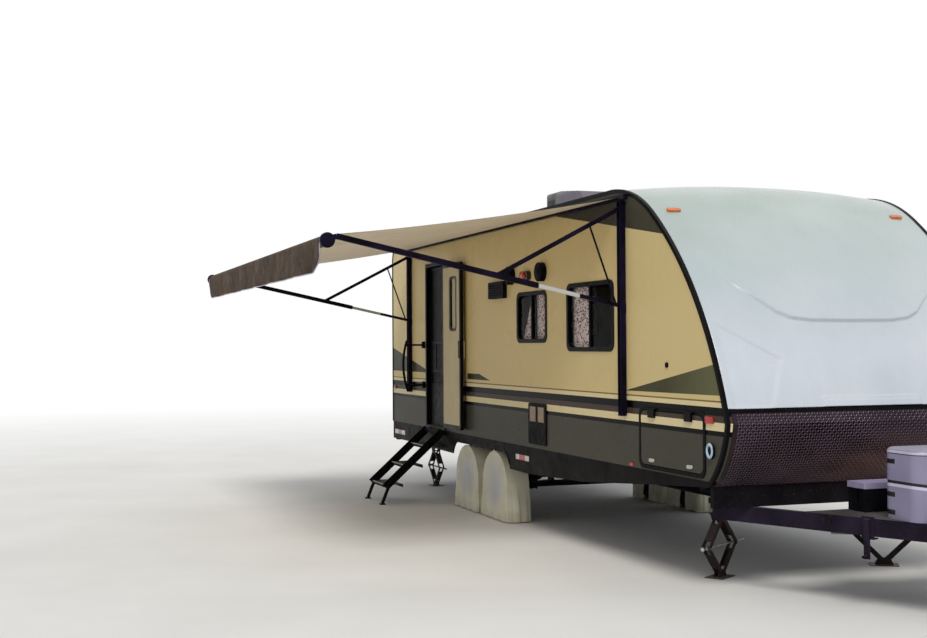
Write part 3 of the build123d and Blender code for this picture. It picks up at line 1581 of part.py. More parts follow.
os.makedirs("parts", exist_ok=True)
save("right_wall", right_wall)
save("left_wall", left_wall)
save("roof", roof)
save("rear_wall", rear_wall)
save("front_cap", front_cap)
save("front_plate", front_plate)
save("floor", floor)
save("window_frames", *[window_frame(*row) for row in windows])
save("window_glass", *[window_pane(*row) for row in windows])
save("curtains", *[curtain(*row) for row in windows])
save("edge_trims", edge_trims())
save("bed_box", *bed_box())

save("door_frame", *door_frame())
save("entry_door", *entry_door())
save("screen_door", screen_door())
save("baggage_door_right", baggage_door())
save("baggage_door_left", left(baggage_door()))
save("baggage_door_frames", *both(baggage_door_frame()))

outriggers = [outrigger(x, side) for x in outrigger_x for side in (-1, 1)]
save("chassis_rails", i_rail(-rail_y), i_rail(rail_y))
save("frame_ribs", *cross_frame(), *outriggers)
save("underbelly", underbelly)
save("drawbar", *both(drawbar_rail()))
tray = across_rails(tray_rear_x, jack_plate_x[0] - 1, tray_thickness, 0)
save("drawbar_plates", tray, jack_bracket(), *both(hitch_bracket()))
save("coupler", coupler())
save("gas_cover", gas_cover())
save("battery_box", battery_box())
save("tongue_jack_housing", tongue_jack_housing())
save("tongue_jack_leg", tongue_jack_leg())
save("skirts", *both(skirt()))
save("rear_bumper", rear_bumper())

save("axles", *[axle(x) for x in axle_x])
save("leaf_springs", suspension(-rail_y), suspension(rail_y))
wheel_places = [
    (f"{row}_{side}", x, y)
    for row, x in zip(("front", "rear"), axle_x)
    for side, y in (("right", -wheel_y), ("left", wheel_y))
]
for place, x, y in wheel_places:
    save(f"wheel_{place}", *wheel(x, y))
save("wheel_covers", *[wheel_cover(x, y) for place, x, y in wheel_places])

save("awning_channels", *[awning_channel(x) for x in channel_x], awning_rail())
save("awning_arms", *[awning_arm(x) for x in channel_x])
save("awning_roller", awning_roller())
save("awning_fabric", *awning_fabric())
save("air_conditioner", air_conditioner())
save("roof_vents", *[roof_vent(*row) for row in vents])
save("entry_steps", *entry_steps())
save("grab_handle", grab_handle())
save("wall_fittings", *[wall_unit(*row) for row in wall_units])
cap_lamps = [cap_lamp(side) for side in (-1, 1)]
side_lamps = [wall_unit(*row) for row in wall_lamps]
save("lamps", *side_lamps, *[rear_lamp(*row) for row in rear_lamps], *cap_lamps)

fixed_jack_pieces = []
for name, x, y, bearing in front_jacks:
    pieces = placed_jack(x, y, bearing)
    fixed_jack_pieces.append(pieces.pop("mount"))
    for piece_name, piece in pieces.items():
        save(f"jack_{name}_{piece_name}", piece)
for name, x, y, bearing in rear_jacks:
    fixed_jack_pieces.extend(placed_jack(x, y, bearing).values())
save("fixed_jack_pieces", *fixed_jack_pieces)
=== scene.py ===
# %% [markdown]
# # A travel caravan, dressed for its portrait
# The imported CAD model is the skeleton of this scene. Every wall, rail and joint is already in
# place, in metres, with the origin at the centre of the ball socket in the coupler. Here the
# skeleton gets its skin: paint and plastics on the CAD parts, and cloth, tread plate and small
# hardware as new pieces that ride on the CAD bodies.

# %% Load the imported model
from math import atan2, cos, exp, hypot, pi, radians, sin, sqrt

import bpy
from mathutils import Matrix, Vector
from mathutils.bvhtree import BVHTree


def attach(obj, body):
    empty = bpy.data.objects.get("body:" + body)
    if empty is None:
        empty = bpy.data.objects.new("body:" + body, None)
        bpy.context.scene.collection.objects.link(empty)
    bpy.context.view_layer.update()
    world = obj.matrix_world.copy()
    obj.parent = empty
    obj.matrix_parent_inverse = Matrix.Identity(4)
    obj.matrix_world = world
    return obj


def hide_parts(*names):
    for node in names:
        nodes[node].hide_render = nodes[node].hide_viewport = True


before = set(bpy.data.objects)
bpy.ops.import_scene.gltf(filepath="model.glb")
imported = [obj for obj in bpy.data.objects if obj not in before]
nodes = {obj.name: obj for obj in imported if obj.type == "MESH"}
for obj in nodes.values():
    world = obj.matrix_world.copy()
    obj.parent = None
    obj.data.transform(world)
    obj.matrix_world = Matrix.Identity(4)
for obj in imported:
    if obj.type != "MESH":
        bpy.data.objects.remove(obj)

scene = bpy.context.scene
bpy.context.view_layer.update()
ground_z = -0.56

# %% [markdown]
# ## The camera
# The picture was taken from ahead of the drawbar and to the right, at standing eye height, with
# a normal lens. A camera fitted to known corners of the body gives its place, its bearing and a
# very small roll. Turning those angles into a rotation matrix by hand keeps the three of them
# separate, which Blender's Euler angles don't.

# %% Set up the camera
camera_place = Vector((6.294, -5.838, 1.228))
bearing, pitch, roll = radians(19.131), radians(1.139), radians(-0.335)
focal_pixels, picture_width, sensor_width = 1289, 927, 36

ahead = Vector((-cos(bearing) * cos(pitch), sin(bearing) * cos(pitch), sin(pitch)))
level_right = ahead.cross(Vector((0, 0, 1))).normalized()
level_up = level_right.cross(ahead)
right = cos(roll) * level_right + sin(roll) * level_up
up = cos(roll) * level_up - sin(roll) * level_right
camera_turn = Matrix((right, up, -ahead)).transposed().to_4x4()

camera_data = bpy.data.cameras.new("camera")
camera_data.sensor_width = sensor_width
camera_data.lens = sensor_width * focal_pixels / picture_width
camera = bpy.data.objects.new("camera", camera_data)
camera.matrix_world = Matrix.Translation(camera_place) @ camera_turn
scene.collection.objects.link(camera)
scene.camera = camera
print("lens", round(camera_data.lens, 1), "mm")

# %% [markdown]
# ## The light
# A caravan is big, smooth and glossy, so small lamps would show as hard spots on it. A pale sky
# from all round gives a plain base level, and one wide, soft sun from the front right shapes the
# cap and lets the awning throw its shade. The camera, mirrors and glass see the sky as white.


# %% Helpers for node trees
def fill(tree, socket, value):
    """Link another node's socket to a socket, or give it a plain value."""
    if isinstance(value, bpy.types.NodeSocket):
        tree.links.new(value, socket)
    else:
        socket.default_value = value


def add_node(tree, kind, inputs=None, **settings):
    """A shader node with its settings made and its sockets filled."""
    made = tree.nodes.new("ShaderNode" + kind)
    for name, value in settings.items():
        setattr(made, name, value)
    for socket, value in (inputs or {}).items():
        fill(tree, made.inputs[socket], value)
    return made


# %% Set up the sky and the sun
world = bpy.data.worlds.new("sky")
scene.world = world
world.use_nodes = True
sky = world.node_tree
sky.nodes.clear()
ray = add_node(sky, "LightPath").outputs
sees_white = ray["Is Camera Ray"]
for other_ray in ("Is Glossy Ray", "Is Transmission Ray"):
    either_ray = add_node(sky, "Math", {0: sees_white, 1: ray[other_ray]}, operation="MAXIMUM")
    sees_white = either_ray.outputs[0]
daylight = add_node(sky, "Background", {"Color": (0.94, 0.97, 1.0, 1), "Strength": 0.55})
white = add_node(sky, "Background", {"Color": (1, 1, 1, 1), "Strength": 1.0})
shown = add_node(sky, "MixShader", {0: sees_white, 1: daylight.outputs[0], 2: white.outputs[0]})
add_node(sky, "OutputWorld", {"Surface": shown.outputs[0]})
scene.view_settings.view_transform = "Standard"

sun_direction = Vector((-0.62, 0.24, -0.75))
sun_data = bpy.data.lights.new("sun", "SUN")
sun_data.energy = 1.9
sun_data.angle = radians(24)
sun_data.color = (1.0, 0.965, 0.91)
sun = bpy.data.objects.new("sun", sun_data)
sun.rotation_mode = "QUATERNION"
sun.rotation_quaternion = sun_direction.to_track_quat("-Z", "Y")
scene.collection.objects.link(sun)
print("sky", daylight.inputs["Strength"].default_value, "sun", sun_data.energy)

# %% [markdown]
# ## A bench for mixing finishes
# Every finish below starts from the same shader and adds its own nodes: patches of two tones,
# a grain that lifts the surface a little, and a roughness that varies. Numbers that hold all
# over a surface go straight on the shader's own sockets. Positions come from the object's own
# coordinates, which here are the caravan's, so a stripe keeps its place on a door that swings.
# A mask is a number from 0 to 1 at every place, and a tint is laid on where its mask is 1.

# %% Helpers for masks
class Masks:
    """A material's node tree and shader, with the arithmetic that makes masks."""

    def __init__(self, name, **uniform):
        self.material = bpy.data.materials.new(name)
        self.material.use_nodes = True
        self.tree = self.material.node_tree
        self.shader = self.tree.nodes["Principled BSDF"]
        for socket, value in uniform.items():
            self.set(socket.replace("_", " "), value)
        self.place = self.node("TexCoord").outputs["Object"]
        self.xyz = self.node("SeparateXYZ", {"Vector": self.place}).outputs

    def node(self, kind, inputs=None, **settings):
        return add_node(self.tree, kind, inputs, **settings)

    def set(self, socket, value):
        """Fill one of the shader's own sockets."""
        fill(self.tree, self.shader.inputs[socket], value)

    def maths(self, operation, *values):
        return self.node("Math", dict(enumerate(values)), operation=operation).outputs[0]

    def above(self, value, limit):
        return self.maths("GREATER_THAN", value, limit)

    def below(self, value, limit):
        return self.maths("LESS_THAN", value, limit)

    def all_of(self, *masks):
        """1 only where every mask is 1."""
        result = masks[0]
        for mask in masks[1:]:
            result = self.maths("MULTIPLY", result, mask)
        return result

    def any_of(self, *masks):
        """1 wherever one mask is 1."""
        result = masks[0]
        for mask in masks[1:]:
            result = self.maths("MAXIMUM", result, mask)
        return result

    def within(self, value, low, high):
        """1 where a value lies between two limits."""
        return self.all_of(self.above(value, low), self.below(value, high))

    def distance(self, place, point):
        """How far each place lies from one point."""
        return self.node("VectorMath", {0: place, 1: point}, operation="DISTANCE").outputs["Value"]

    def waves(self, axis, pitch):
        """Threads or ribs across one axis, 0 for x to 2 for z, at a pitch in metres."""
        return self.maths("SINE", self.maths("MULTIPLY", self.xyz[axis], 2 * pi / pitch))


# %% Helpers for finishes
dust_tone = (0.42, 0.39, 0.33)


class Finish(Masks):
    """One material on the bench: its patterns, its colours in layers and its relief."""

    def noise(self, scale, detail=4.0, stretch=None):
        place = self.place
        if stretch:
            place = self.node("Mapping", {"Vector": place, "Scale": stretch}).outputs[0]
        inputs = {"Vector": place, "Scale": scale, "Detail": detail}
        return self.node("TexNoise", inputs).outputs["Fac"]

    def spread(self, value, low, high, start=0.3, end=0.7):
        """Stretch a pattern so that it runs from one number to another between two values."""
        inputs = {"Value": value, "From Min": start, "From Max": end, "To Min": low, "To Max": high}
        return self.node("MapRange", inputs).outputs["Result"]

    def cloud(self, scale, detail=4.0, stretch=None):
        """A mask of soft patches."""
        return self.spread(self.noise(scale, detail, stretch), 0, 1)

    def blend(self, mask, first, second):
        """Mix two colours."""
        mixer = self.node("Mix", {0: mask}, data_type="RGBA")
        for colour, socket in ((first, 6), (second, 7)):
            plain = isinstance(colour, tuple)
            fill(self.tree, mixer.inputs[socket], (*colour, 1) if plain else colour)
        return mixer.outputs[2]

    def patches(self, scale, dark, light, detail=4.0, stretch=None):
        """Two tones in soft patches."""
        return self.blend(self.cloud(scale, detail, stretch), dark, light)

    def colour(self, value):
        self.set("Base Color", value)

    def tint(self, mask, tone):
        """Lay another tone over the colour that is there."""
        before = self.shader.inputs["Base Color"].links[0].from_socket
        self.colour(self.blend(mask, before, tone))

    def dust(self, amount):
        """Settle dust on whatever faces up."""
        normal = self.node("NewGeometry").outputs["Normal"]
        up_facing = self.node("SeparateXYZ", {"Vector": normal}).outputs[2]
        settled = self.spread(up_facing, 0.0, amount, 0.35, 0.95)
        self.tint(self.all_of(settled, self.spread(self.noise(2.2), 0.3, 1.0)), dust_tone)

    def rough(self, low, high, scale, detail=4.0):
        """A roughness that varies between two numbers, in patches."""
        self.set("Roughness", self.spread(self.noise(scale, detail), low, high))

    def lift(self, value, depth):
        """Raise the surface by a pattern times a depth in metres, on top of what is there."""
        bump = self.node("Bump", {"Height": value, "Distance": depth, "Strength": 1.0})
        before = self.shader.inputs["Normal"].links
        if before:
            fill(self.tree, bump.inputs["Normal"], before[0].from_socket)
        self.set("Normal", bump.outputs[0])


# %% Shortcuts to a finish
def screen(red, green, blue):
    """A colour as a screen shows it, 0 to 255, as the linear numbers that a shader wants."""
    return tuple(
        ((part / 255 + 0.055) / 1.055) ** 2.4 if part > 10 else part / 3294.6
        for part in (red, green, blue)
    )


def mottled(name, dark, light, patch, rough, grain, depth, dust=0.0, **uniform):
    """Common ground of most finishes: two-tone patches, a fine grain and a varied gloss."""
    finish = Finish(name, **uniform)
    finish.colour(finish.patches(patch, dark, light))
    if dust:
        finish.dust(dust)
    finish.rough(*rough, 4 * patch, 6)
    finish.lift(finish.noise(grain, 2), depth)
    return finish


def dress(finish, *names):
    """Give CAD nodes a finish through their material slots."""
    for name in names:
        slots = nodes[name].data.materials
        slots.clear()
        slots.append(finish.material)


# %% [markdown]
# ## Painted side walls
# The walls are smooth laminated sheets. Bands run along them from end to end: a thin tan line,
# a black stripe over a brown-grey one, a second black stripe, and a grey lower wall. Dark
# wedges sweep in above the bands at both ends, and a dark band follows the roof edge over the
# front window. Painting all of it by height and length, in one material, keeps every line
# running on across the door leaves.

# %% Paint the bands
stripe_black, pale_cream = screen(6, 6, 7), screen(221, 205, 160)
band_low, band_high = -0.3, 2.7
band_stops = [  # the foot of each band and its colour, from the sill up
    (-0.20, screen(70, 68, 58)),
    (0.572, stripe_black),
    (0.614, pale_cream),
    (0.667, screen(70, 60, 52)),
    (0.716, stripe_black),
    (0.771, pale_cream),
    (0.806, screen(122, 98, 58)),
    (0.822, screen(213, 191, 138)),
]


def banded(finish):
    """The bands that run round the body, by height alone."""
    height = finish.spread(finish.xyz[2], 0, 1, band_low, band_high)
    ramp = finish.node("ValToRGB", {"Fac": height})
    ramp.color_ramp.interpolation = "CONSTANT"
    stops = ramp.color_ramp.elements
    while len(stops) < len(band_stops):
        stops.new(0.5)
    for stop, (foot, tone) in zip(stops, band_stops):
        stop.position = (foot - band_low) / (band_high - band_low)
        stop.color = (*tone, 1)
    return ramp.outputs["Color"]


print(len(band_stops), "bands from", band_stops[0][0], "to", band_stops[-1][0], "m")

# %% Paint the wedges
# Each wedge: the x it spans, then two points (x, z) on the line below it and two on the one above
front_wedge = (-3.071, -1.3), ((-3.071, 0.853), (-1.6, 0.862)), ((-3.071, 0.853), (-1.696, 1.075))
middle_wedge = (-6.9, -6.195), ((-6.9, 0.855), (-6.0, 0.855)), ((-6.541, 0.921), (-6.195, 0.855))
rear_wedge = (-9.83, -8.354), ((-9.83, 0.9), (-8.3, 0.9)), ((-9.789, 1.191), (-8.354, 0.93))
brow = (-5.3, -1.9), ((-5.3, 2.52), (-2.484, 2.07)), ((-5.3, 3.0), (-1.9, 3.0))
middle_wedge_top = 0.918


def line_height(finish, start, end):
    """Height of a sloping line over each place along the wall."""
    (x0, z0), (x1, z1) = start, end
    slope = (z1 - z0) / (x1 - x0)
    return finish.maths("MULTIPLY_ADD", finish.xyz[0], slope, z0 - x0 * slope)


def wedge(finish, x_range, line_below, line_above):
    """1 inside a wedge between two sloping lines."""
    return finish.all_of(
        finish.within(finish.xyz[0], *x_range),
        finish.above(finish.xyz[2], line_height(finish, *line_below)),
        finish.below(finish.xyz[2], line_height(finish, *line_above)),
    )


# %% Paint the walls
olive_lengths = (-2.4, -1.7)
inner_skin, outer_skin, latch_top = 1.177, 1.2268, 0.36


def wall_paint(name, with_wedges=True, with_hardware=False):
    finish = Finish(name, Coat_Weight=0.04, Coat_Roughness=0.05, Specular_IOR_Level=0.03)
    x, y, z = finish.xyz
    from_middle = finish.maths("ABSOLUTE", y)
    finish.colour(banded(finish))
    if with_wedges:
        tint_share = finish.spread(x, 0, 1, *olive_lengths)
        olive = finish.blend(tint_share, stripe_black, screen(88, 88, 62))
        middle = finish.all_of(wedge(finish, *middle_wedge), finish.below(z, middle_wedge_top))
        finish.tint(wedge(finish, *front_wedge), olive)
        finish.tint(wedge(finish, *rear_wedge), screen(44, 42, 34))
        finish.tint(middle, stripe_black)
        finish.tint(wedge(finish, *brow), screen(38, 35, 44))
        # The inside face is painted nearly black: painted shade for the dim interior seen through
        # the windows.
        finish.tint(finish.below(from_middle, inner_skin), screen(16, 14, 12))
    # Greenish patches over the cream at the top of the wall.
    greenish_patches = finish.all_of(
        finish.spread(z, 0, 0.16, 0.80, 0.84), finish.cloud(0.7, 2, (0.4, 1, 1))
    )
    finish.tint(greenish_patches, screen(186, 181, 124))
    grime = finish.all_of(finish.spread(z, 0.26, 0, 0.24, 0.44), finish.cloud(5, 6, (1, 1, 0.25)))
    finish.tint(grime, screen(84, 80, 64))
    if with_hardware:
        metal = finish.blend(finish.below(z, latch_top), stripe_black, screen(188, 188, 182))
        finish.tint(finish.above(from_middle, outer_skin), metal)
    finish.rough(0.24, 0.34, 2)
    finish.lift(finish.noise(2.2, 1), 0.0012)
    return finish


wall_names = ("right_wall", "left_wall")
bay_door_names = ("baggage_door_right", "baggage_door_left")
dress(wall_paint("wall_gelcoat"), *wall_names)
dress(wall_paint("bay_door_gelcoat", with_hardware=True), *bay_door_names)
dress(wall_paint("rear_gelcoat", with_wedges=False), "rear_wall")
print("bands painted on", len(wall_names + bay_door_names) + 1, "nodes")

# %% [markdown]
# ## Trim, glass and the roof
# Extruded mouldings cover every seam of the body. They are black, a little chalky where the
# weather reaches them. The windows are tinted panes in black frames. The roof is a pale rubber
# sheet that dulls with dust. Indoors there are a plank floor and a plywood bed box over the
# storage bay.

# %% Finish trim, glass and roof
chalky = {"Specular_IOR_Level": 0.03}
trim = mottled(
    "black_trim", screen(8, 8, 10), screen(19, 18, 21), 5, (0.28, 0.45), 120, 0.00006,
    dust=0.06, **chalky,
)
dress(trim, "edge_trims", "window_frames", "door_frame", "baggage_door_frames")

pane = Finish("window_glass", Transmission_Weight=1.0, IOR=1.05, Specular_IOR_Level=0.1)
pane.colour(pane.patches(3, screen(234, 234, 236), screen(242, 242, 243)))
pane.rough(0.02, 0.09, 12, 5)
pane.lift(pane.noise(2.5, 1), 0.001)
dress(pane, "window_glass")

roof_sheet = mottled(
    "roof_skin", screen(206, 208, 204), screen(228, 228, 222), 1.2, (0.5, 0.75), 60, 0.0006,
    dust=0.5,
)
dress(roof_sheet, "roof")
print("trim, glass and roof dressed")

# %% Finish the boards indoors
board_sizes = {"Scale": 1.0, "Brick Width": 1.2, "Row Height": 0.15, "Mortar Size": 0.002}
board_tones = {"Color1": (118, 92, 68), "Color2": (139, 112, 84), "Mortar": (52, 42, 34)}
planks = Finish("floor_board")
boards = planks.node("TexBrick", {"Vector": planks.place, "Bias": -0.2, **board_sizes}, offset=0.37)
for socket, tone in board_tones.items():
    fill(planks.tree, boards.inputs[socket], (*screen(*tone), 1))
planks.colour(boards.outputs["Color"])
planks.tint(planks.spread(planks.noise(14, 8, (0.12, 2.5, 1)), 0, 0.35), screen(84, 62, 44))
planks.rough(0.35, 0.55, 30, 5)
planks.lift(boards.outputs["Fac"], -0.0008)
dress(planks, "floor")

ply = Finish("bed_board")
ply_grain = ply.spread(ply.noise(6, 8, (0.3, 4, 4)), 0, 0.6)
ply.colour(ply.blend(ply_grain, screen(204, 172, 128), screen(150, 116, 78)))
ply.rough(0.55, 0.75, 8, 6)
ply.lift(ply.noise(120, 2), 0.0003)
dress(ply, "bed_box")
print("boards", board_sizes["Row Height"], "m wide")

# %% [markdown]
# ## Frame, springs, wheels and jacks
# Everything under the floor is welded steel in black chassis paint. The paint is thin, so rust
# freckles come through where stones hit it. Screws, pins and latches are zinc plated and stay
# brighter.

# %% Finish the frame and the jacks
def chassis_paint(name, rust=0.35, dark=(12, 11, 14), light=(28, 26, 32)):
    finish = mottled(
        name, screen(*dark), screen(*light), 4, (0.35, 0.6), 150, 0.00012, **chalky
    )
    specks = finish.spread(finish.noise(55, 8), 0, 1, 0.58, 0.7)
    rusty = finish.all_of(specks, finish.spread(finish.noise(3), 0, rust))
    finish.tint(rusty, screen(112, 66, 38))
    finish.dust(0.25)
    return finish


dress(chassis_paint("frame_paint"), "chassis_rails", "frame_ribs", "rear_bumper", "axles")
drawbar_paint = chassis_paint("drawbar_paint", 0.3, (24, 20, 30), (44, 38, 53))
dress(drawbar_paint, "drawbar", "drawbar_plates")
dress(chassis_paint("spring_steel", 0.8), "leaf_springs")

screw_names = [name for name in nodes if name.endswith("_screw")]
jack_names = [name for name in nodes if name.startswith("jack_") and name not in screw_names]
jack_steel = chassis_paint("jack_steel", 0.9, (34, 29, 30), (58, 48, 46))
dress(jack_steel, "fixed_jack_pieces", *jack_names)

plated = mottled(
    "bright_steel", screen(150, 148, 142), screen(196, 194, 186), 30, (0.22, 0.45), 200, 0.0001,
    Metallic=1.0,
)
thread_waves = {"Vector": plated.place, "Scale": 60.0}
threads = plated.node("TexWave", thread_waves, bands_direction="DIAGONAL")
plated.lift(threads.outputs["Fac"], 0.0008)
dress(plated, "tongue_jack_leg", *screw_names)
print(len(jack_names), "jack arms and feet,", len(screw_names), "screws")

# %% Finish coupler, underbelly and wheels
coupler_paint = mottled(
    "coupler_steel", screen(18, 17, 21), screen(36, 34, 41), 9, (0.3, 0.5), 150, 0.0002,
    dust=0.15, Specular_IOR_Level=0.3,
)
dress(coupler_paint, "coupler")

sheeting = mottled(
    "underbelly_sheet", screen(20, 20, 21), screen(31, 31, 32), 2, (0.5, 0.7), 90, 0.0004
)
flute_waves = {"Vector": sheeting.place, "Scale": 30.0}
flutes = sheeting.node("TexWave", flute_waves, bands_direction="X")
sheeting.lift(flutes.outputs["Fac"], 0.001)
dress(sheeting, "underbelly")

axle_x = {"front": -6.110, "rear": -6.960}
hub_z, rim_seat = -0.215, 0.1757
for axle, hub_x in axle_x.items():
    rubber = Finish("wheel_rubber_" + axle)
    across = rubber.maths("SUBTRACT", rubber.xyz[0], hub_x)
    over = rubber.maths("SUBTRACT", rubber.xyz[2], hub_z)
    squares = [rubber.maths("MULTIPLY", offset, offset) for offset in (across, over)]
    on_rim = rubber.below(rubber.maths("ADD", *squares), rim_seat**2)
    rubber.colour(rubber.patches(9, screen(26, 25, 25), screen(44, 42, 40)))
    rubber.tint(on_rim, screen(188, 188, 184))
    rubber.set("Metallic", rubber.all_of(on_rim, 0.75))
    rubber.set("Roughness", rubber.spread(on_rim, 0.82, 0.35, 0, 1))
    rubber.lift(rubber.noise(240, 3), 0.0006)
    dress(rubber, *(f"wheel_{axle}_{side}" for side in ("right", "left")))
print("wheels on axles at", list(axle_x.values()), "m")

# %% [markdown]
# ## Moulded plastics and small metal
# The gas cover is thick moulded plastic with a leathery grain, the skirts and the roof unit are
# thinner and darker. Steps, handle and arms are powder coated.

# %% Finish the gas cover and the battery box
gas_cover = mottled(
    "gas_cover_plastic", screen(124, 119, 146), screen(146, 140, 168), 2.5, (0.35, 0.5), 160,
    0.00012, dust=0.3,
)
x, y, z = gas_cover.xyz
slot_heights, slot_half_height = (0.104, 0.222, 0.440), 0.016
fold_slope, fold_height, fold_gap, fold_highlight = 0.125, 0.256, (-0.006, 0.014), (-0.026, -0.006)
lid_gap, lid_highlight = (0.490, 0.496), (0.496, 0.512)
corner_x, corner_y, shell_back = -0.830, 0.26, -0.950
sides = gas_cover.maths("ABSOLUTE", y)
fold = gas_cover.maths("MULTIPLY_ADD", sides, fold_slope, fold_height)
over_fold = gas_cover.maths("SUBTRACT", z, fold)
slots = gas_cover.any_of(
    *(gas_cover.within(z, at - slot_half_height, at + slot_half_height) for at in slot_heights)
)
in_shade = gas_cover.any_of(
    gas_cover.within(over_fold, *fold_gap),
    gas_cover.within(z, *lid_gap),
    gas_cover.all_of(slots, gas_cover.below(x, corner_x), gas_cover.above(sides, corner_y)),
    gas_cover.below(x, shell_back),
)
# The pale band under the fold and the pale lip over the lid's gap are painted highlights; the gaps,
# the slots' far corners and the back of the shell get painted shade.
gas_cover.tint(gas_cover.within(over_fold, *fold_highlight), screen(196, 190, 212))
gas_cover.tint(gas_cover.within(z, *lid_highlight), screen(188, 182, 202))
gas_cover.tint(in_shade, screen(10, 9, 12))
dress(gas_cover, "gas_cover")

lid_foot = 0.219
box_plastic = mottled(
    "box_plastic", screen(10, 10, 13), screen(24, 23, 28), 6, (0.4, 0.6), 150, 0.00015,
    dust=0.15, **chalky,
)
box_plastic.tint(box_plastic.above(box_plastic.xyz[2], lid_foot), screen(150, 142, 172))
dress(box_plastic, "battery_box")
print("gas cover with", len(slot_heights), "pairs of slots, box lid from", lid_foot, "m up")

# %% Finish the other plastics
dark_plastic = mottled(
    "black_plastic", screen(9, 9, 11), screen(22, 21, 24), 6, (0.4, 0.6), 150, 0.00012,
    dust=0.08, **chalky,
)
dress(dark_plastic, "tongue_jack_housing", "wall_fittings", "grab_handle")

skirt_plastic = mottled(
    "skirt_plastic", screen(11, 10, 11), screen(24, 21, 22), 2, (0.35, 0.55), 120, 0.0001,
    **chalky,
)
low_down = skirt_plastic.spread(skirt_plastic.xyz[2], 0.3, 0.0, 0.0, 0.2)
skirt_plastic.tint(skirt_plastic.all_of(low_down, skirt_plastic.cloud(7, 7)), screen(70, 60, 48))
dress(skirt_plastic, "skirts")

grille_end = -6.45
shroud = mottled(
    "roof_unit_plastic", screen(66, 59, 76), screen(88, 79, 98), 3, (0.3, 0.5), 150, 0.00015,
    dust=0.2,
)
shroud.tint(shroud.below(shroud.xyz[0], grille_end), screen(16, 15, 19))
dress(shroud, "air_conditioner")
vent_plastic = mottled(
    "vent_plastic", screen(120, 122, 124), screen(176, 178, 178), 5, (0.3, 0.5), 300, 0.0002,
    dust=0.3,
)
dress(vent_plastic, "roof_vents")
print("roof unit's grille behind", grille_end, "m")

# %% Finish arms, roller and steps
arm_coat = mottled(
    "awning_arm_coat", screen(10, 8, 16), screen(28, 22, 44), 6, (0.25, 0.42), 150, 0.00005,
    **chalky,
)
bare_reach, bare_heights = (-1.97, -1.62), (1.56, 1.72)
_, y, z = arm_coat.xyz
bare_tube = arm_coat.all_of(arm_coat.within(y, *bare_reach), arm_coat.within(z, *bare_heights))
arm_coat.tint(bare_tube, screen(186, 188, 186))
dress(arm_coat, "awning_arms", "awning_channels")
roller_coat = mottled(
    "roller_metal", screen(10, 9, 12), screen(24, 21, 28), 5, (0.3, 0.45), 150, 0.00006, **chalky
)
dress(roller_coat, "awning_roller")

step_coat = mottled(
    "step_metal", screen(10, 10, 11), screen(26, 25, 27), 5, (0.45, 0.65), 180, 0.0002,
    dust=0.25, **chalky,
)
dress(step_coat, "entry_steps")
print("arms, roller and steps coated")

# %% [markdown]
# ## Doors
# The entrance door stands folded back against the wall, so its inner face shows: a tan panel in
# a black edge. Its other face carries the wall's bands. The screen door is a black tube frame
# with a fine mesh that lets a little light through.

# %% Finish the entrance door
# Faces of the open leaf by their y, from the one next to the wall to the catches on the panel
leaf_back, leaf_pane, leaf_panel, leaf_catches = -1.2565, -1.272, -1.2935, -1.2975
panel_middle, panel_half_width, panel_heights = -7.225, 0.272, (0.345, 2.085)
pane_lengths, pane_heights = (-7.260, -7.060), (1.40, 1.96)

leaf = Finish("door_panel", Specular_IOR_Level=0.08)
x, y, z = leaf.xyz
from_middle = leaf.maths("ABSOLUTE", leaf.maths("SUBTRACT", x, panel_middle))
edge_black = leaf.patches(8, screen(8, 8, 9), screen(18, 17, 18))
tan = leaf.patches(2.5, screen(182, 166, 126), screen(196, 181, 142), 4, (1, 1, 0.4))
milky = leaf.blend(leaf.spread(x, 0, 1, -7.20, -7.12), screen(196, 190, 166), screen(148, 144, 126))
on_panel = leaf.all_of(
    leaf.below(y, leaf_panel), leaf.below(from_middle, panel_half_width),
    leaf.within(z, *panel_heights),
)
at_pane = leaf.all_of(
    leaf.above(y, leaf_pane), leaf.within(x, *pane_lengths), leaf.within(z, *pane_heights)
)
leaf.colour(edge_black)
leaf.tint(leaf.above(y, leaf_back), banded(leaf))
leaf.tint(on_panel, tan)
leaf.tint(leaf.below(y, leaf_catches), edge_black)
leaf.tint(at_pane, milky)
leaf.rough(0.32, 0.5, 9, 5)
leaf.lift(leaf.noise(350, 3), 0.0002)
dress(leaf, "entry_door")
print("door panel", 2 * panel_half_width, "m wide")

# %% Weave the screen door's net
net_depth, thread_pitch = (-1.1745, -1.1715), 0.0032
netting = Finish("screen_net", Specular_IOR_Level=0.1)
netting.colour(netting.patches(12, screen(7, 7, 8), screen(15, 15, 16)))
holes = netting.all_of(
    netting.within(netting.xyz[1], *net_depth),
    *(netting.above(netting.waves(axis, thread_pitch), 0.1) for axis in (0, 2)),
)
netting.set("Alpha", netting.maths("SUBTRACT", 1.0, netting.all_of(holes, 0.85)))
netting.rough(0.4, 0.6, 20)
netting.lift(netting.noise(500, 2), 0.0002)
dress(netting, "screen_door")
print("net woven at", 1000 * thread_pitch, "mm")

# %% [markdown]
# ## Lamps
# Marker lamps are red at the rear and low down, and amber up on the cap, and each lens is
# moulded in ribs that break up the light. One finish serves all of them: it picks its colour by
# where the lamp sits.

# %% Finish the lamps
lens = Finish("lamp_lens", Coat_Weight=0.12, Coat_Roughness=0.05)
red = lens.patches(18, screen(150, 16, 18), screen(196, 30, 26))
amber = lens.patches(18, screen(196, 92, 30), screen(222, 122, 48))
cap_back, cap_lamps_foot, porch_lengths, rib_pitch = -3.3, 2.2, (-5.3, -5.0), 0.006
x, _, z = lens.xyz
on_cap = lens.all_of(lens.above(x, cap_back), lens.above(z, cap_lamps_foot))
at_porch = lens.within(x, *porch_lengths)
lens.colour(red)
lens.tint(on_cap, amber)
lens.tint(at_porch, screen(20, 16, 16))
lens.lift(lens.waves(2, rib_pitch), 0.0006)
lens.rough(0.12, 0.25, 40)
dress(lens, "lamps")
print("lens ribs every", 1000 * rib_pitch, "mm")
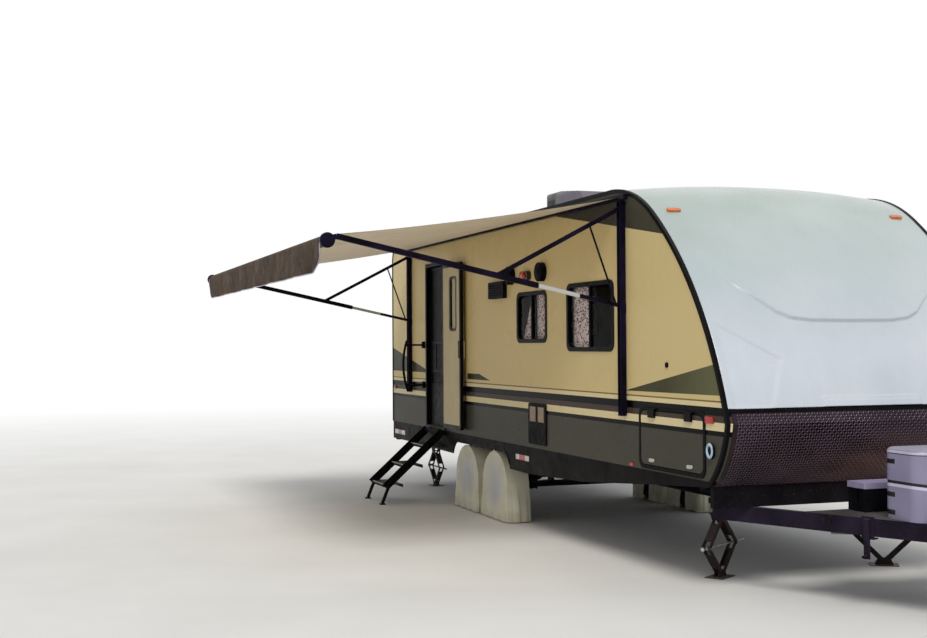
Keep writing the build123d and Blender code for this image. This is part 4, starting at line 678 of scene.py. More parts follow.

# %% [markdown]
# ## Building new pieces
# The new pieces are grids of points worked out in code. Each one rides on the body
# that carries it.


# %% Helpers for new pieces
def make_piece(name, points, faces, finish, slot, thickness=0.0):
    """Mesh from points and faces, smooth shaded, that rides on the caravan's body."""
    mesh = bpy.data.meshes.new(name)
    mesh.from_pydata([tuple(point) for point in points], [], faces)
    mesh.validate()
    mesh.polygons.foreach_set("use_smooth", [True] * len(mesh.polygons))
    mesh.materials.append(finish.material)
    piece = bpy.data.objects.new(name, mesh)
    scene.collection.objects.link(piece)
    if thickness:
        shell = piece.modifiers.new("thickness", "SOLIDIFY")
        shell.thickness = thickness
        shell.offset = -1
    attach(piece, "root")
    return piece


def grid_faces(rows, columns, skip=()):
    """Quads between neighbouring points of a grid stored row by row."""
    quads = []
    for row in range(rows - 1):
        for column in range(columns - 1):
            if (row, column) not in skip:
                corner = row * columns + column
                quads.append((corner, corner + 1, corner + columns + 1, corner + columns))
    return quads


def flipped(faces):
    """The same faces, seen from their other side."""
    return [tuple(reversed(face)) for face in faces]


# %% Helpers that gather surfaces
def joined(*parts):
    """Several meshes as one list of points and one of faces."""
    points, faces = [], []
    for more_points, more_faces in parts:
        faces += [tuple(len(points) + corner for corner in face) for face in more_faces]
        points += more_points
    return points, faces


def tree_of(*names):
    """Something to cast rays at: the surface of one CAD node or more."""
    meshes = [nodes[name].data for name in names]
    return BVHTree.FromPolygons(*joined(*(
        ([vertex.co.copy() for vertex in mesh.vertices], [face.vertices for face in mesh.polygons])
        for mesh in meshes
    )))


def smooth(value, low, high):
    """0 below a range, 1 above it, with a soft turn at both ends."""
    share = min(1.0, max(0.0, (value - low) / (high - low)))
    return share * share * (3 - 2 * share)


# %% [markdown]
# ## The moulded cap
# The front of the real caravan is one glass-fibre moulding. A wide dome swells over its upper
# half and ends in a crease shaped like a smile, and low cheeks are pressed in at both corners.
# The CAD cap has the true outline and crown but a plain face. Here a fine grid is laid on that
# face by casting rays at it, and each point is then moved out or in by a few millimetres.

# %% Mix the cap's gelcoat
cap_coat = Finish(
    "cap_gelcoat", Coat_Weight=0.25, Coat_Roughness=0.1, Specular_IOR_Level=0.35
)
height = cap_coat.xyz[2]
low_tone = cap_coat.patches(1.1, screen(184, 194, 204), screen(202, 208, 218), 3)
# The greener, darker tone towards the top is a painted reflection of greenery.
greenery_reflection_tone = cap_coat.patches(1.4, screen(152, 172, 166), screen(176, 192, 188), 3)
cap_coat.colour(cap_coat.blend(cap_coat.spread(height, 0, 1, 1.2, 2.5), low_tone, greenery_reflection_tone))
streaks = cap_coat.spread(cap_coat.noise(7, 5, (1, 2, 0.2)), 0, 0.09)
streaks = cap_coat.all_of(streaks, cap_coat.spread(height, 1, 0.2, 0.7, 2.2))
cap_coat.tint(streaks, screen(158, 160, 158))
cap_coat.dust(0.25)
cap_coat.rough(0.2, 0.34, 5, 5)
cap_coat.lift(cap_coat.noise(1.6, 1), 0.002)
cap_coat.lift(cap_coat.noise(60, 1), 0.00001)
print("cap gelcoat with", len(cap_coat.tree.nodes), "nodes")

# %% Draw the cap's relief
# Lines of points: (-|y|, z) for the crease and the cheek's top, (z, -|y|) for the cheek's side
smile = [
    (-0.95, 1.74), (-0.854, 1.63), (-0.733, 1.539), (-0.613, 1.445), (-0.512, 1.403),
    (-0.351, 1.384), (0, 1.381),
]
cheek_top = [(-1.175, 1.40), (-0.914, 1.246), (-0.813, 1.19), (-0.673, 1.112)]
cheek_side = [(0.70, -0.86), (0.891, -0.773), (1.031, -0.713), (1.112, -0.673)]
dome_rise, dome_fade, cheek_depth = 0.027, 0.55, 0.011


def follow(line, value):
    """Second number of a line of points at one value of the first."""
    for (a, b), (c, d) in zip(line, line[1:]):
        if value <= c:
            return b + (d - b) * (value - a) / (c - a)
    return line[-1][1]


def cap_relief(y, z):
    """How far the moulding stands out of the plain face at one place."""
    side = -abs(y)
    above = z - follow(smile, max(side, smile[0][0]))
    dome = smooth(above, -0.008, 0.012) * exp(-max(above, 0) / dome_fade)
    dome *= smooth(side, -1.02, -0.58)
    into_cheek = smooth(follow(cheek_top, side) - z, -0.006, 0.018)
    beside = smooth(follow(cheek_side, min(z, cheek_side[-1][0])) - side, -0.020, 0.040)
    return dome_rise * dome - cheek_depth * into_cheek * beside


print("relief", dome_rise, "m out and", cheek_depth, "m in")

# %% Lay the skin on the cap
cap_surface = tree_of("front_cap", "right_wall", "left_wall")
aim, ray_length = Vector((-4.1, 0, 0.55)), 6
cap_foot, cap_brow = (-1.512, 0.7675), (-3.30, 2.53)
cap_half, seam_half = 1.1975, 1.1748
pad_half, pad_top, pad_rise, seam_rise = 0.42, 0.845, 0.010, 0.0015


def cap_point(y, angle):
    """The cap's face where a ray from far ahead meets it, moved by the relief."""
    direction = Vector((cos(angle), 0, sin(angle)))
    start = Vector((aim.x, y, aim.z)) + direction * ray_length
    place, normal, _, _ = cap_surface.ray_cast(start, -direction)
    if place is None:
        return None
    normal = normal if normal.dot(direction) > 0 else -normal
    inside_edge = smooth(seam_half - abs(y), 0.0, 0.06) * smooth(place.z, 0.768, 0.80)
    pad = pad_rise * smooth(pad_half + 0.008 - abs(y), 0, 0.016)
    pad *= smooth(pad_top + 0.007 - place.z, 0, 0.014)
    over_wall = seam_rise * smooth(abs(y), seam_half - 0.006, seam_half)
    return place + normal * (cap_relief(y, place.z) * inside_edge + pad + over_wall)


rows, columns = 236, 200
low_angle, high_angle = (atan2(z - aim.z, x - aim.x) for x, z in (cap_foot, cap_brow))
# Share of the rows used up at each angle: the crease lies between 8 and 30 degrees
row_plan = [(0, low_angle), (0.10, radians(8)), (0.68, radians(30)), (1, high_angle)]
cap_points = []
for row in range(rows):
    angle = follow(row_plan, row / (rows - 1))
    offsets = [2 * column / (columns - 1) - 1 for column in range(columns)]
    line = [cap_point(cap_half * offset, angle) for offset in offsets]
    if all(line):
        cap_points += line
cap_faces = grid_faces(len(cap_points) // columns, columns)
cap_skin = make_piece("cap_skin", cap_points, cap_faces, cap_coat, "cap_gelcoat", 0.006)
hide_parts("front_cap")
print("cap skin", len(cap_points) // columns, "rows of", columns)

# %% [markdown]
# ## Tread plate
# The lower front is faced with dark tread plate, pressed with short bars that lean left and
# right by turns. At this size each bar is worth real geometry, because it catches its own light
# from every side. Bars are placed by rays cast at the CAD plate and follow its curve.

# %% Mix the plate's metal and the bars' painted highlight
plate_coat = mottled(
    "plate_metal", screen(24, 18, 22), screen(50, 37, 47), 1.1, (0.26, 0.4), 120, 0.00008,
    Metallic=0.6, Specular_IOR_Level=0.3,
)
low_down = plate_coat.spread(plate_coat.xyz[2], 0.7, 0.0, 0.2, 0.62)
plate_coat.tint(plate_coat.all_of(low_down, plate_coat.cloud(1.7, 3)), screen(128, 86, 68))
dress(plate_coat, "front_plate")
# The bars are pressed from the plate's own metal; they are mixed much lighter as a painted
# highlight.
bar_highlight_coat = mottled(
    "tread_bar_highlight", screen(84, 70, 84), screen(138, 120, 138), 1.4, (0.24, 0.36), 120, 0.00005,
    Metallic=0.8,
)
print("plate and bars mixed")

# %% Find the rows of bars
plate_surface = tree_of("front_plate")
bar_length, bar_width, bar_height, bar_pitch = 0.024, 0.0062, 0.0016, 0.0215
bar_sunk, bar_shoulder, bar_crest = 0.0003, 0.3, 0.45
plate_middle, plate_foot, plate_top, plate_width = Vector((-2.2, 0, 0.60)), 0.222, 0.757, 2.30
scan_start, scan_step, scan_count = -50, 0.01, 6800
plate_line = []
for step in range(scan_count):
    angle = radians(scan_start + scan_step * step)
    direction = Vector((cos(angle), 0, sin(angle)))
    place, normal, _, _ = plate_surface.ray_cast(plate_middle + direction * 3, -direction)
    if place is None or not plate_foot < place.z < plate_top:
        continue
    if not plate_line or (place - plate_line[-1][0]).length >= bar_pitch:
        plate_line.append((place, normal if normal.x > 0 else -normal))
print(len(plate_line), "rows of bars")

# %% Press the bars
across = Vector((0, 1, 0))
across_count = int(plate_width / bar_pitch)
bar_sides = ((0, 1, 6), (1, 2, 7, 6), (2, 3, 7), (3, 4, 7), (4, 5, 6, 7), (5, 0, 6))
bar_points, bar_faces = [], []
for row, (place, normal) in enumerate(plate_line):
    along_plate = normal.cross(across).normalized()
    for column in range(across_count):
        y = (column - (across_count - 1) / 2) * bar_pitch
        lean = 1 if (row + column) % 2 else -1
        length_way = (across + along_plate * lean).normalized() * bar_length / 2
        width_way = normal.cross(length_way).normalized() * bar_width / 2
        foot = Vector((place.x, y, place.z)) - normal * bar_sunk
        top = foot + normal * (bar_height + bar_sunk)
        first = len(bar_points)
        bar_points += [
            foot + length_way,
            foot + length_way * bar_shoulder + width_way,
            foot - length_way * bar_shoulder + width_way,
            foot - length_way,
            foot - length_way * bar_shoulder - width_way,
            foot + length_way * bar_shoulder - width_way,
            top + length_way * bar_crest,
            top - length_way * bar_crest,
        ]
        for corners in (*bar_sides, (5, 4, 3, 2, 1, 0)):
            bar_faces.append([first + corner for corner in corners])
tread_bars = make_piece("tread_bars", bar_points, bar_faces, bar_highlight_coat, "plate_metal")
tread_bars.data.polygons.foreach_set("use_smooth", [False] * len(bar_faces))
print("tread bars", len(plate_line), "rows of", across_count)

# %% [markdown]
# ## The awning
# One sheet of coated cloth runs from the rail on the wall over the roller and hangs down in
# front of it as a valance. It is held in the rail and on the roller, so it sags a little between
# them and draws in at its free ends. The sheet is drawn as one grid whose rows follow that path.
# Its upper face is dark brown and its under face beige, so the piece has two finishes. A
# lilac-grey binding runs round the three free edges of the valance.

# %% Mix the awning cloth
awning_thread = 0.0025


def coated_cloth(name, dark, light, sheen=0.25, **uniform):
    cloth = Finish(name, Sheen_Weight=sheen, Sheen_Roughness=0.5, **uniform)
    cloth.colour(cloth.patches(1.4, dark, light))
    stain = cloth.all_of(cloth.spread(cloth.noise(3.5, 8), 0, 0.35, 0.5, 0.75), cloth.cloud(0.7))
    cloth.tint(stain, screen(128, 112, 86))
    warp, weft = cloth.waves(0, awning_thread), cloth.waves(1, awning_thread)
    cloth.lift(cloth.maths("MULTIPLY", warp, weft), 0.00012)
    cloth.lift(cloth.noise(5, 3), 0.002)
    cloth.rough(0.5, 0.72, 12, 5)
    return cloth


awning_under = coated_cloth("awning_under", screen(222, 200, 164), screen(233, 214, 180))
awning_over = coated_cloth(
    "awning_over", screen(58, 45, 35), screen(78, 62, 48), sheen=0.0, Specular_IOR_Level=0.05
)
binding_cloth = coated_cloth("awning_binding", screen(156, 150, 166), screen(184, 178, 194))
print("cloth woven at", 1000 * awning_thread, "mm")

# %% Measure the awning
roller_y, roller_z, roller_radius = -3.660, 2.010, 0.042
rail_edge = Vector((0, -1.2640, 2.405))
wrap_radius = roller_radius + 0.0016
awning_x = (-8.937, -3.103)
valance_foot, corner_height, corner_reach = 1.782, 0.12, 0.30
end_sag, more_sag, end_pull = 0.026, 0.026, 0.030
span_rows, wrap_rows, valance_rows, awning_columns = 56, 8, 16, 120
awning_rows = span_rows + wrap_rows + valance_rows
roller_top = Vector((0, roller_y, roller_z + wrap_radius))


# %% Hang the awning
def span_point(x, share, along):
    """The sheet between rail and roller, where it sags and its free ends draw in."""
    place = rail_edge.lerp(roller_top, along)
    hang = 4 * along * (1 - along)
    wrinkle = 0.004 * sin(x * 9 + 2.5 * sin(along * 5)) * smooth(along, 0.55, 1.0) * hang
    drawn_in = end_pull * hang * (1 - smooth(min(share, 1 - share), 0.0, 0.16))
    from_ends = 4 * share * (1 - share)
    z = place.z - ((end_sag + more_sag * from_ends) * hang + wrinkle)
    return Vector((x + drawn_in * (1 if share < 0.5 else -1), place.y, z))


def valance_point(x, drop):
    """The valance, with its waves and its two round corners."""
    from_end = min(x - awning_x[0], awning_x[1] - x)
    into_corner = min(max(1 - from_end / corner_reach, 0), 1)
    foot = valance_foot + corner_height * (1 - sqrt(1 - into_corner**2))
    wave = 0.007 * drop * sin(x * 7.3 + sin(x * 2.1)) + 0.004 * drop * sin(x * 17)
    y = roller_y - wrap_radius - 0.004 * sin(pi * drop) - wave
    return Vector((x, y, roller_z + (foot - roller_z) * drop))


def awning_point(row, column):
    """One point of the sheet, in columns that crowd towards both ends."""
    share = column / (awning_columns - 1)
    share -= 0.6 * sin(2 * pi * share) / (2 * pi)
    x = awning_x[0] + (awning_x[1] - awning_x[0]) * share
    if row < span_rows:
        return span_point(x, share, row / (span_rows - 1))
    if row < span_rows + wrap_rows:
        turn = pi / 2 * (row - span_rows + 1) / wrap_rows
        return Vector((x, roller_y - wrap_radius * sin(turn), roller_z + wrap_radius * cos(turn)))
    return valance_point(x, (row - span_rows - wrap_rows + 1) / valance_rows)


awning_points = [
    awning_point(row, column) for row in range(awning_rows) for column in range(awning_columns)
]
awning_faces = flipped(grid_faces(awning_rows, awning_columns))
awning_sheet = make_piece(
    "awning_sheet", awning_points, awning_faces, awning_over, "awning_cloth", 0.0012
)
awning_sheet.data.materials.append(awning_under.material)
awning_sheet.modifiers["thickness"].material_offset = 1
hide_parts("awning_fabric")
print("awning", awning_rows, "rows of", awning_columns)


# %% Sew the hem of the valance
def tube(path, radius, sides=8):
    """Points and faces of a round cord along a list of points."""
    points, faces = [], []
    for number, place in enumerate(path):
        before, after = path[max(number - 1, 0)], path[min(number + 1, len(path) - 1)]
        way = (after - before).normalized()
        guide = Vector((0, 0, 1)) if abs(way.z) < 0.9 else Vector((0, 1, 0))
        side = way.cross(guide).normalized()
        over = side.cross(way)
        for step in range(sides):
            turn = 2 * pi * step / sides
            points.append(place + side * radius * cos(turn) + over * radius * sin(turn))
    for this in range(0, (len(path) - 1) * sides, sides):
        following = this + sides
        for step in range(sides):
            after = (step + 1) % sides
            faces.append((this + step, this + after, following + after, following + step))
    faces += [tuple(reversed(range(sides))), tuple(range(len(points) - sides, len(points)))]
    return points, faces


cord_radius = 0.0045
drop_rows = range(span_rows + wrap_rows - 1, awning_rows - 1)
hem_line = [awning_point(row, 0) for row in drop_rows]
hem_line += [awning_point(awning_rows - 1, column) for column in range(awning_columns)]
hem_line += [awning_point(row, awning_columns - 1) for row in reversed(drop_rows)]
hem = make_piece("valance_hem", *tube(hem_line, cord_radius), binding_cloth, "awning_cloth")

# %% [markdown]
# ## Wheel covers
# A fabric hood is pulled over each wheel to keep the sun off the tyre. It is sewn from two
# D-shaped panels and a band between them, and hangs to the ground, where its hem flutters into
# shallow folds. Each hood is one mesh: two panel grids that share their edge with the band.

# %% Mix the cover cloth
cover_thread, panel_side, hub_tint_reach, hub_tint_share = 0.0016, 1.196, (0.20, 0.42), 0.55
cover_cloth = Finish("cover_cloth", Sheen_Weight=0.35, Sheen_Roughness=0.4)
cover_cloth.colour(cover_cloth.patches(5, screen(204, 200, 176), screen(226, 223, 202), 5))
side_view = cover_cloth.node(
    "VectorMath", {0: cover_cloth.place, 1: (1, 0, 1)}, operation="MULTIPLY"
).outputs[0]
# A blue-grey patch round each hub on the outer panels.
near_hub = []
for hub_x in axle_x.values():
    from_hub = cover_cloth.distance(side_view, (hub_x, 0, -0.20))
    uneven = cover_cloth.maths("MULTIPLY_ADD", cover_cloth.noise(6, 4), 0.22, from_hub)
    near_hub.append(cover_cloth.spread(uneven, 1, 0, *hub_tint_reach))
on_panel = cover_cloth.above(cover_cloth.maths("ABSOLUTE", cover_cloth.xyz[1]), panel_side)
tint_share = cover_cloth.all_of(cover_cloth.any_of(*near_hub), on_panel, hub_tint_share)
cover_cloth.tint(tint_share, screen(176, 182, 206))
low_down = cover_cloth.spread(cover_cloth.xyz[2], 0.5, 0, -0.55, -0.42)
cover_cloth.tint(cover_cloth.all_of(low_down, cover_cloth.cloud(14, 6)), screen(134, 118, 90))
warp, weft = cover_cloth.waves(0, cover_thread), cover_cloth.waves(2, cover_thread)
cover_cloth.lift(cover_cloth.maths("ADD", warp, weft), 0.0001)
cover_cloth.lift(cover_cloth.noise(28, 4), 0.0012)
cover_cloth.rough(0.78, 0.92, 9)
print("cover cloth woven at", 1000 * cover_thread, "mm")

# %% Cut the pattern of a hood
hood_radius, hood_centre, hood_hem, hood_half, hood_flare = 0.354, -0.220, -0.553, 0.1245, 0.014
slot_half, slot_top = 0.045, -0.153
panel_columns, panel_rows, band_strips = 60, 34, 18
panel_size = panel_rows * panel_columns


def panel_point(column, row):
    """Place on a panel in side view, from the hem up to the arch."""
    x = -hood_radius * cos(pi * column / (panel_columns - 1))
    top = hood_centre + sqrt(max(hood_radius**2 - x * x, 0))
    z = hood_hem + (top - hood_hem) * row / (panel_rows - 1)
    flare = smooth(hood_centre - z, 0, hood_centre - hood_hem)
    return x * (1 + flare * hood_flare / hood_radius), z


def in_slot(row, column):
    """Whether a quad lies in the slot that lets the inner panel pass the axle."""
    x, z = panel_point(column, row)
    return abs(panel_point(column + 1, row)[0] + x) / 2 < slot_half and z < slot_top


slot_quads = {
    (row, column)
    for row in range(panel_rows - 1)
    for column in range(panel_columns - 1)
    if in_slot(row, column)
}
rim_line = [row * panel_columns for row in range(panel_rows)]
rim_line += [(panel_rows - 1) * panel_columns + column for column in range(1, panel_columns)]
rim_line += [row * panel_columns + panel_columns - 1 for row in range(panel_rows - 2, -1, -1)]


# %% Shape the panels and the band
def drape(x, z, face, wheel_x):
    """Folds near the hem and a slight hollow over the wheel's middle."""
    low = smooth(hood_centre + 0.10 - z, 0, 0.40)
    wide_fold = 0.009 * (1 + sin(x * 31 + face * 1.3 + wheel_x + 2 * z))
    middle = smooth(0.30 - hypot(x, z - hood_centre), 0, 0.2)
    return low * (wide_fold + 0.004 * sin(x * 67 + face)) - 0.006 * middle


def hood_panels(wheel_x, wheel_y, outward):
    """Points of the outer panel and then of the inner one."""
    points = []
    for face in (1, -1):
        for row in range(panel_rows):
            rim = min(1.0, 3.0 * (1 - row / (panel_rows - 1)))
            for column in range(panel_columns):
                x, z = panel_point(column, row)
                edge = smooth(min(column, panel_columns - 1 - column), 0, 5) * rim
                swell = (0.006 + drape(x, z, face, wheel_x)) * edge
                y = wheel_y + face * outward * (hood_half - 0.006 + swell)
                points.append(Vector((wheel_x + x, y, z)))
    return points


def hood_band(points, wheel_x):
    """Add the points of the band between the panels, and give its quads."""
    strips = [rim_line]
    for strip in range(1, band_strips):
        share = strip / band_strips
        strips.append(range(len(points), len(points) + len(rim_line)))
        for corner in rim_line:
            a, b = points[corner], points[panel_size + corner]
            low = smooth(hood_centre + 0.08 - a.z, 0, 0.30)
            ripple = 0.011 * (1 + sin(15 * share + a.x * 3)) + 0.005 * sin(37 * share + 9 * a.z)
            out = 0.005 * sin(pi * share) + low * sin(pi * share) * ripple
            away = Vector((a.x - wheel_x, 0, max(a.z, hood_centre) - hood_centre)).normalized()
            points.append(a.lerp(b, share) + away * out)
    strips.append([panel_size + corner for corner in rim_line])
    return [
        (first[step], first[step + 1], second[step + 1], second[step])
        for first, second in zip(strips, strips[1:])
        for step in range(len(rim_line) - 1)
    ]


# %% Sew a hood over each wheel
def hood(name, wheel_x, wheel_y):
    outward = 1 if wheel_y > 0 else -1
    points = hood_panels(wheel_x, wheel_y, outward)
    outer = grid_faces(panel_rows, panel_columns)
    inner = [
        tuple(panel_size + corner for corner in quad)
        for quad in grid_faces(panel_rows, panel_columns, skip=slot_quads)
    ]
    band = hood_band(points, wheel_x)
    faces = outer + flipped(inner) + band if outward < 0 else flipped(outer) + inner + flipped(band)
    cover = make_piece(name, points, faces, cover_cloth, "cover_cloth", 0.002)
    cord = tube([points[corner] for corner in rim_line], cord_radius, 6)
    piping = make_piece(name + "_piping", *cord, cover_cloth, "cover_cloth")
    print(name, "faces", len(faces))
    return cover


wheel_side_y = {"right": -1.087, "left": 1.087}
covers = [
    hood(f"wheel_cover_{axle}_{side}", wheel_x, wheel_y)
    for axle, wheel_x in axle_x.items()
    for side, wheel_y in wheel_side_y.items()
]
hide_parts("wheel_covers")

# %% [markdown]
# ## Curtains
# Thin pleated curtains with a dense rust-coloured fleck hang behind the windows: drawn shut on
# the left side, and held aside on the right, where each leaves a dark gap. Each curtain is a
# wave of pleats. Where it is held narrow the wave is deeper, so that every row of the sheet
# unrolls to the same cut width.

# %% Mix the curtain cloth
curtain_cloth = Finish("curtain_cloth", Sheen_Weight=0.3, Sheen_Roughness=0.5)
flecks = curtain_cloth.node("TexVoronoi", {"Vector": curtain_cloth.place, "Scale": 64.0})
fleck = curtain_cloth.spread(flecks.outputs["Distance"], 1, 0, 0.38, 0.50)
curtain_cloth.colour(curtain_cloth.patches(30, screen(244, 222, 214), screen(252, 242, 236)))
curtain_cloth.tint(curtain_cloth.all_of(fleck, 0.95), screen(104, 40, 40))
curtain_cloth.lift(curtain_cloth.noise(700, 2), 0.0002)
curtain_cloth.rough(0.7, 0.9, 40)
print("flecked cloth with", len(curtain_cloth.tree.nodes), "nodes")

# %% Measure the curtains
# Side (-1 right, 1 left), middle x, middle z, width, height of each window, then the shares of
# that width, from the middle, where the curtain starts at its top and at its foot, and ends
windows = [
    (-1, -5.045, 1.485, 0.750, 0.490, -0.06, -0.54, 0.54),
    (-1, -3.737, 1.461, 0.955, 0.597, -0.54, -0.54, -0.10),
    (1, -3.600, 1.461, 0.955, 0.597, -0.54, -0.54, 0.54),
    (1, -5.350, 1.540, 0.750, 0.490, -0.54, -0.54, 0.54),
    (1, -7.300, 1.461, 1.300, 0.597, -0.54, -0.54, 0.54),
    (1, -9.150, 1.590, 0.450, 0.380, -0.54, -0.54, 0.54),
]
pleat_pitch, pleat_steps, curtain_rows = 0.052, 12, 16
curtain_plane, fullness, deepest_pleat, halvings = 1.175 - 0.024, 1.35, 0.06, 24
below_window, above_window = 0.036, 0.055


def pleat_depth(width, cut, pleats):
    """Depth at which a wave of pleats over a width is as long as the cut."""
    low, high = 0.0, deepest_pleat
    for _ in range(halvings):
        middle = (low + high) / 2
        rises = [middle * sin(2 * pi * step / pleat_steps) for step in range(pleat_steps + 1)]
        run = width / pleats / pleat_steps
        length = pleats * sum(hypot(run, b - a) for a, b in zip(rises, rises[1:]))
        low, high = (middle, high) if length < cut else (low, middle)
    return low


# %% Hang the curtains
def hang_curtain(name, side, x, z, width, height, from_top, from_foot, to_share):
    x_high = x + to_share * width
    widest = x_high - (x + from_foot * width)
    z_low, z_high = z - height / 2 - below_window, z + height / 2 + above_window
    pleats = max(4, round(widest / pleat_pitch))
    steps = pleats * pleat_steps + 1
    cut_width = widest * fullness
    points = []
    for row in range(curtain_rows):
        drop = row / (curtain_rows - 1)
        x_low = x + (from_top + (from_foot - from_top) * drop) * width
        deep = pleat_depth(x_high - x_low, cut_width, pleats)
        for step in range(steps):
            share = step / (steps - 1)
            y = side * (curtain_plane + deep * sin(2 * pi * pleats * share))
            place = (x_low + (x_high - x_low) * share, y, z_high + (z_low - z_high) * drop)
            points.append(Vector(place))
    faces = grid_faces(curtain_rows, steps)
    panel = make_piece(name, points, faces, curtain_cloth, "curtain_cloth", 0.0008)
    return panel


curtains = [
    hang_curtain(f"curtain_{number}", *window) for number, window in enumerate(windows, 1)
]
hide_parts("curtains")

# %% [markdown]
# ## Small fittings
# Domed grilles cover the two outdoor speakers, with the porch lamp's orange lens between them.
# A pale oval ring marks the power inlet, red and white tape marks the skirt, and each tread
# has a rounded nosing, coloured pale as a painted highlight. Round ones are turned from a
# profile; flat ones are laid on the CAD by casting rays.


# %% Helpers for small fittings
def turned(profile, centre, wide=1.0, tall=1.0, sides=32):
    """Revolve a profile of (radius, distance out) about a line that leaves the right wall."""
    points, faces = [], []
    for radius, out in profile:
        for step in range(sides):
            turn = -2 * pi * step / sides
            offset = Vector((wide * radius * cos(turn), -out, tall * radius * sin(turn)))
            points.append(Vector(centre) + offset)
    for this in range(0, (len(profile) - 1) * sides, sides):
        following = this + sides
        for step in range(sides):
            after = (step + 1) % sides
            faces.append((this + step, following + step, following + after, this + after))
    return points, faces


def laid_strip(surface, side, x_range, z_range, proud, columns=24, rows=4):
    """A thin rounded-edge strip that follows a side surface of the CAD."""
    points = []
    for row in range(rows):
        for column in range(columns):
            x = x_range[0] + (x_range[1] - x_range[0]) * column / (columns - 1)
            z = z_range[0] + (z_range[1] - z_range[0]) * row / (rows - 1)
            place = surface.ray_cast(Vector((x, side * 3, z)), Vector((0, -side, 0)))[0]
            on_rim = row in (0, rows - 1) or column in (0, columns - 1)
            points.append(Vector((x, place.y + side * (0.0002 if on_rim else proud), z)))
    quads = grid_faces(rows, columns)
    return points, flipped(quads) if side > 0 else quads


# %% Turn the grilles, the porch lens and the inlet ring
grille_rings = 12
grille_profile = [(0.089, 0.000), (0.090, 0.005), (0.084, 0.009), (0.077, 0.007), (0.075, 0.002)]
for ring in range(grille_rings):
    out = 0.004 + 0.009 * sin(pi / 2 * ring / (grille_rings - 1))
    grille_profile.append((0.074 - 0.0062 * ring, out + (0.0016 if ring % 2 else 0.0)))
grille_places = ((-5.551, -1.2682, 1.902), (-4.758, -1.2682, 1.898))
grille_meshes = joined(*(turned(grille_profile, place) for place in grille_places))
make_piece("speaker_grilles", *grille_meshes, dark_plastic, "black_plastic")

porch_coat = mottled(
    "porch_lens", screen(170, 34, 14), screen(214, 62, 26), 14, (0.12, 0.22), 80, 0.0002
)
porch_profile = [(0.042, 0.0), (0.041, 0.008), (0.032, 0.014), (0.018, 0.017), (0.001, 0.018)]
porch_mesh = turned(porch_profile, (-5.156, -1.2622, 1.882), wide=1.3, tall=0.85)
make_piece("porch_lens", *porch_mesh, porch_coat, "lamp_lens")

inlet_coat = mottled(
    "inlet_plastic", screen(140, 162, 190), screen(184, 202, 222), 20, (0.3, 0.45), 120, 0.00008
)
inlet_profile = [
    (0.050, 0.0), (0.051, 0.004), (0.046, 0.008), (0.034, 0.008), (0.030, 0.003), (0.028, -0.002),
]
inlet_mesh = turned(inlet_profile, (-1.712, -1.2362, 0.470), wide=0.9, tall=1.12)
make_piece("inlet_ring", *inlet_mesh, inlet_coat, "black_plastic")
print("turned fittings", len(grille_profile), "rings in each grille")

# %% Lay the tapes on the skirts
tape_pitch, tape_height = 0.30, 0.0010
tape_coat = Finish("reflective_tape", Coat_Weight=0.4, Coat_Roughness=0.1)
tape_coat.colour(tape_coat.blend(
    tape_coat.above(tape_coat.waves(0, tape_pitch), 0), screen(206, 200, 190),
    tape_coat.patches(20, screen(150, 18, 20), screen(186, 30, 30)),
))
honeycomb = tape_coat.node("TexVoronoi", {"Vector": tape_coat.place, "Scale": 160.0})
tape_coat.lift(honeycomb.outputs["Distance"], 0.0002)
tape_coat.rough(0.25, 0.4, 30)
skirt_surface = tree_of("skirts")
tape_places = [((-5.49, -5.15), (0.108, 0.158)), ((-9.74, -9.30), (0.095, 0.150))]
tape_meshes = joined(*(
    laid_strip(skirt_surface, side, x_range, z_range, tape_height)
    for side in (-1, 1)
    for x_range, z_range in tape_places
))
make_piece("skirt_tapes", *tape_meshes, tape_coat, "black_trim")
print("tapes", len(tape_meshes[1]), "faces")

# %% Lay the nosings and the hatch panels
# Each nosing is coloured pale as a painted highlight along the tread's front edge.
nosing_highlight_coat = mottled(
    "step_nosing_highlight", screen(120, 120, 104), screen(158, 156, 138), 12, (0.4, 0.6), 90, 0.0002,
    dust=0.3,
)
tread_start, nosing_step, nosing_rise, nosing_radius = -8.292, 0.0635, 0.012, 0.008
tread_edges = ((-1.437, 0.063), (-1.675, -0.150), (-1.910, -0.361))
nosing_lines = [
    [Vector((tread_start + nosing_step * step, y, z + nosing_rise)) for step in range(10)]
    for y, z in tread_edges
]
nosing_meshes = joined(*(tube(line, nosing_radius) for line in nosing_lines))
make_piece("step_nosings", *nosing_meshes, nosing_highlight_coat, "step_metal")

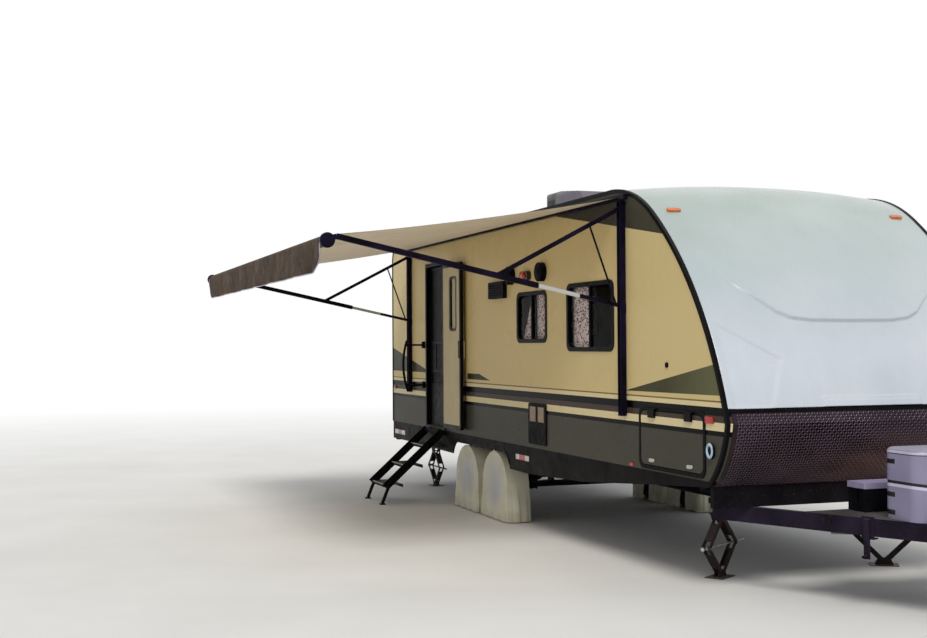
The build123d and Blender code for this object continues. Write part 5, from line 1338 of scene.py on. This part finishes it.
panel_coat = mottled(
    "hatch_panel", screen(112, 92, 66), screen(142, 118, 88), 8, (0.35, 0.5), 100, 0.0001
)
fitting_surface = tree_of("wall_fittings")
hatch_heights, hatch_rise = (0.500, 0.640), 0.0040
hatch_lengths = ((-5.075, -4.930), (-4.875, -4.730))
hatch_meshes = joined(*(
    laid_strip(fitting_surface, -1, x_range, hatch_heights, hatch_rise, 14, 10)
    for x_range in hatch_lengths
))
make_piece("hatch_panels", *hatch_meshes, panel_coat, "black_plastic")
print("nosings and panels", [len(faces) for _, faces in (nosing_meshes, hatch_meshes)], "faces")

# %% [markdown]
# ## The stage
# A plain pale floor carries the shadow. Far from the caravan it turns into the white of the
# sky, so that no horizon line crosses the picture.

# %% Lay the floor
stage_x, stage_y, stage_radius, white_from_to = -5.0, -1.0, 90, (9.0, 26.0)
stage_middle = (stage_x, stage_y, ground_z)
floor_paint = Finish("stage_floor", Roughness=0.9)
floor_paint.colour(floor_paint.patches(0.8, (0.72, 0.715, 0.70), (0.78, 0.775, 0.76)))
floor_paint.lift(floor_paint.noise(25, 3), 0.0006)
glow = floor_paint.node("Emission", {"Color": (1, 1, 1, 1), "Strength": 1.0})
away = floor_paint.distance(floor_paint.place, stage_middle)
far_off = floor_paint.spread(away, 0, 1, *white_from_to)
fade = floor_paint.all_of(far_off, floor_paint.node("LightPath").outputs["Is Camera Ray"])
floor_mix = floor_paint.node(
    "MixShader", {0: fade, 1: floor_paint.shader.outputs[0], 2: glow.outputs[0]}
)
floor_output = floor_paint.tree.nodes["Material Output"]
fill(floor_paint.tree, floor_output.inputs["Surface"], floor_mix.outputs[0])

rings, spokes = 12, 64
floor_points = [stage_middle]
for ring in range(1, rings + 1):
    radius = stage_radius * (ring / rings) ** 2
    for spoke in range(spokes):
        turn = 2 * pi * spoke / spokes
        floor_points.append((stage_x + radius * cos(turn), stage_y + radius * sin(turn), ground_z))
floor_faces = [(0, 1 + spoke, 1 + (spoke + 1) % spokes) for spoke in range(spokes)]
for ring in range(rings - 1):
    inner, outer = 1 + ring * spokes, 1 + (ring + 1) * spokes
    for spoke in range(spokes):
        after = (spoke + 1) % spokes
        floor_faces.append((inner + spoke, outer + spoke, outer + after, inner + after))
floor_mesh = bpy.data.meshes.new("stage_floor")
floor_mesh.from_pydata(floor_points, [], floor_faces)
floor_mesh.materials.append(floor_paint.material)
stage_floor = bpy.data.objects.new("stage_floor", floor_mesh)
scene.collection.objects.link(stage_floor)
print("floor", stage_radius, "m to its edge")
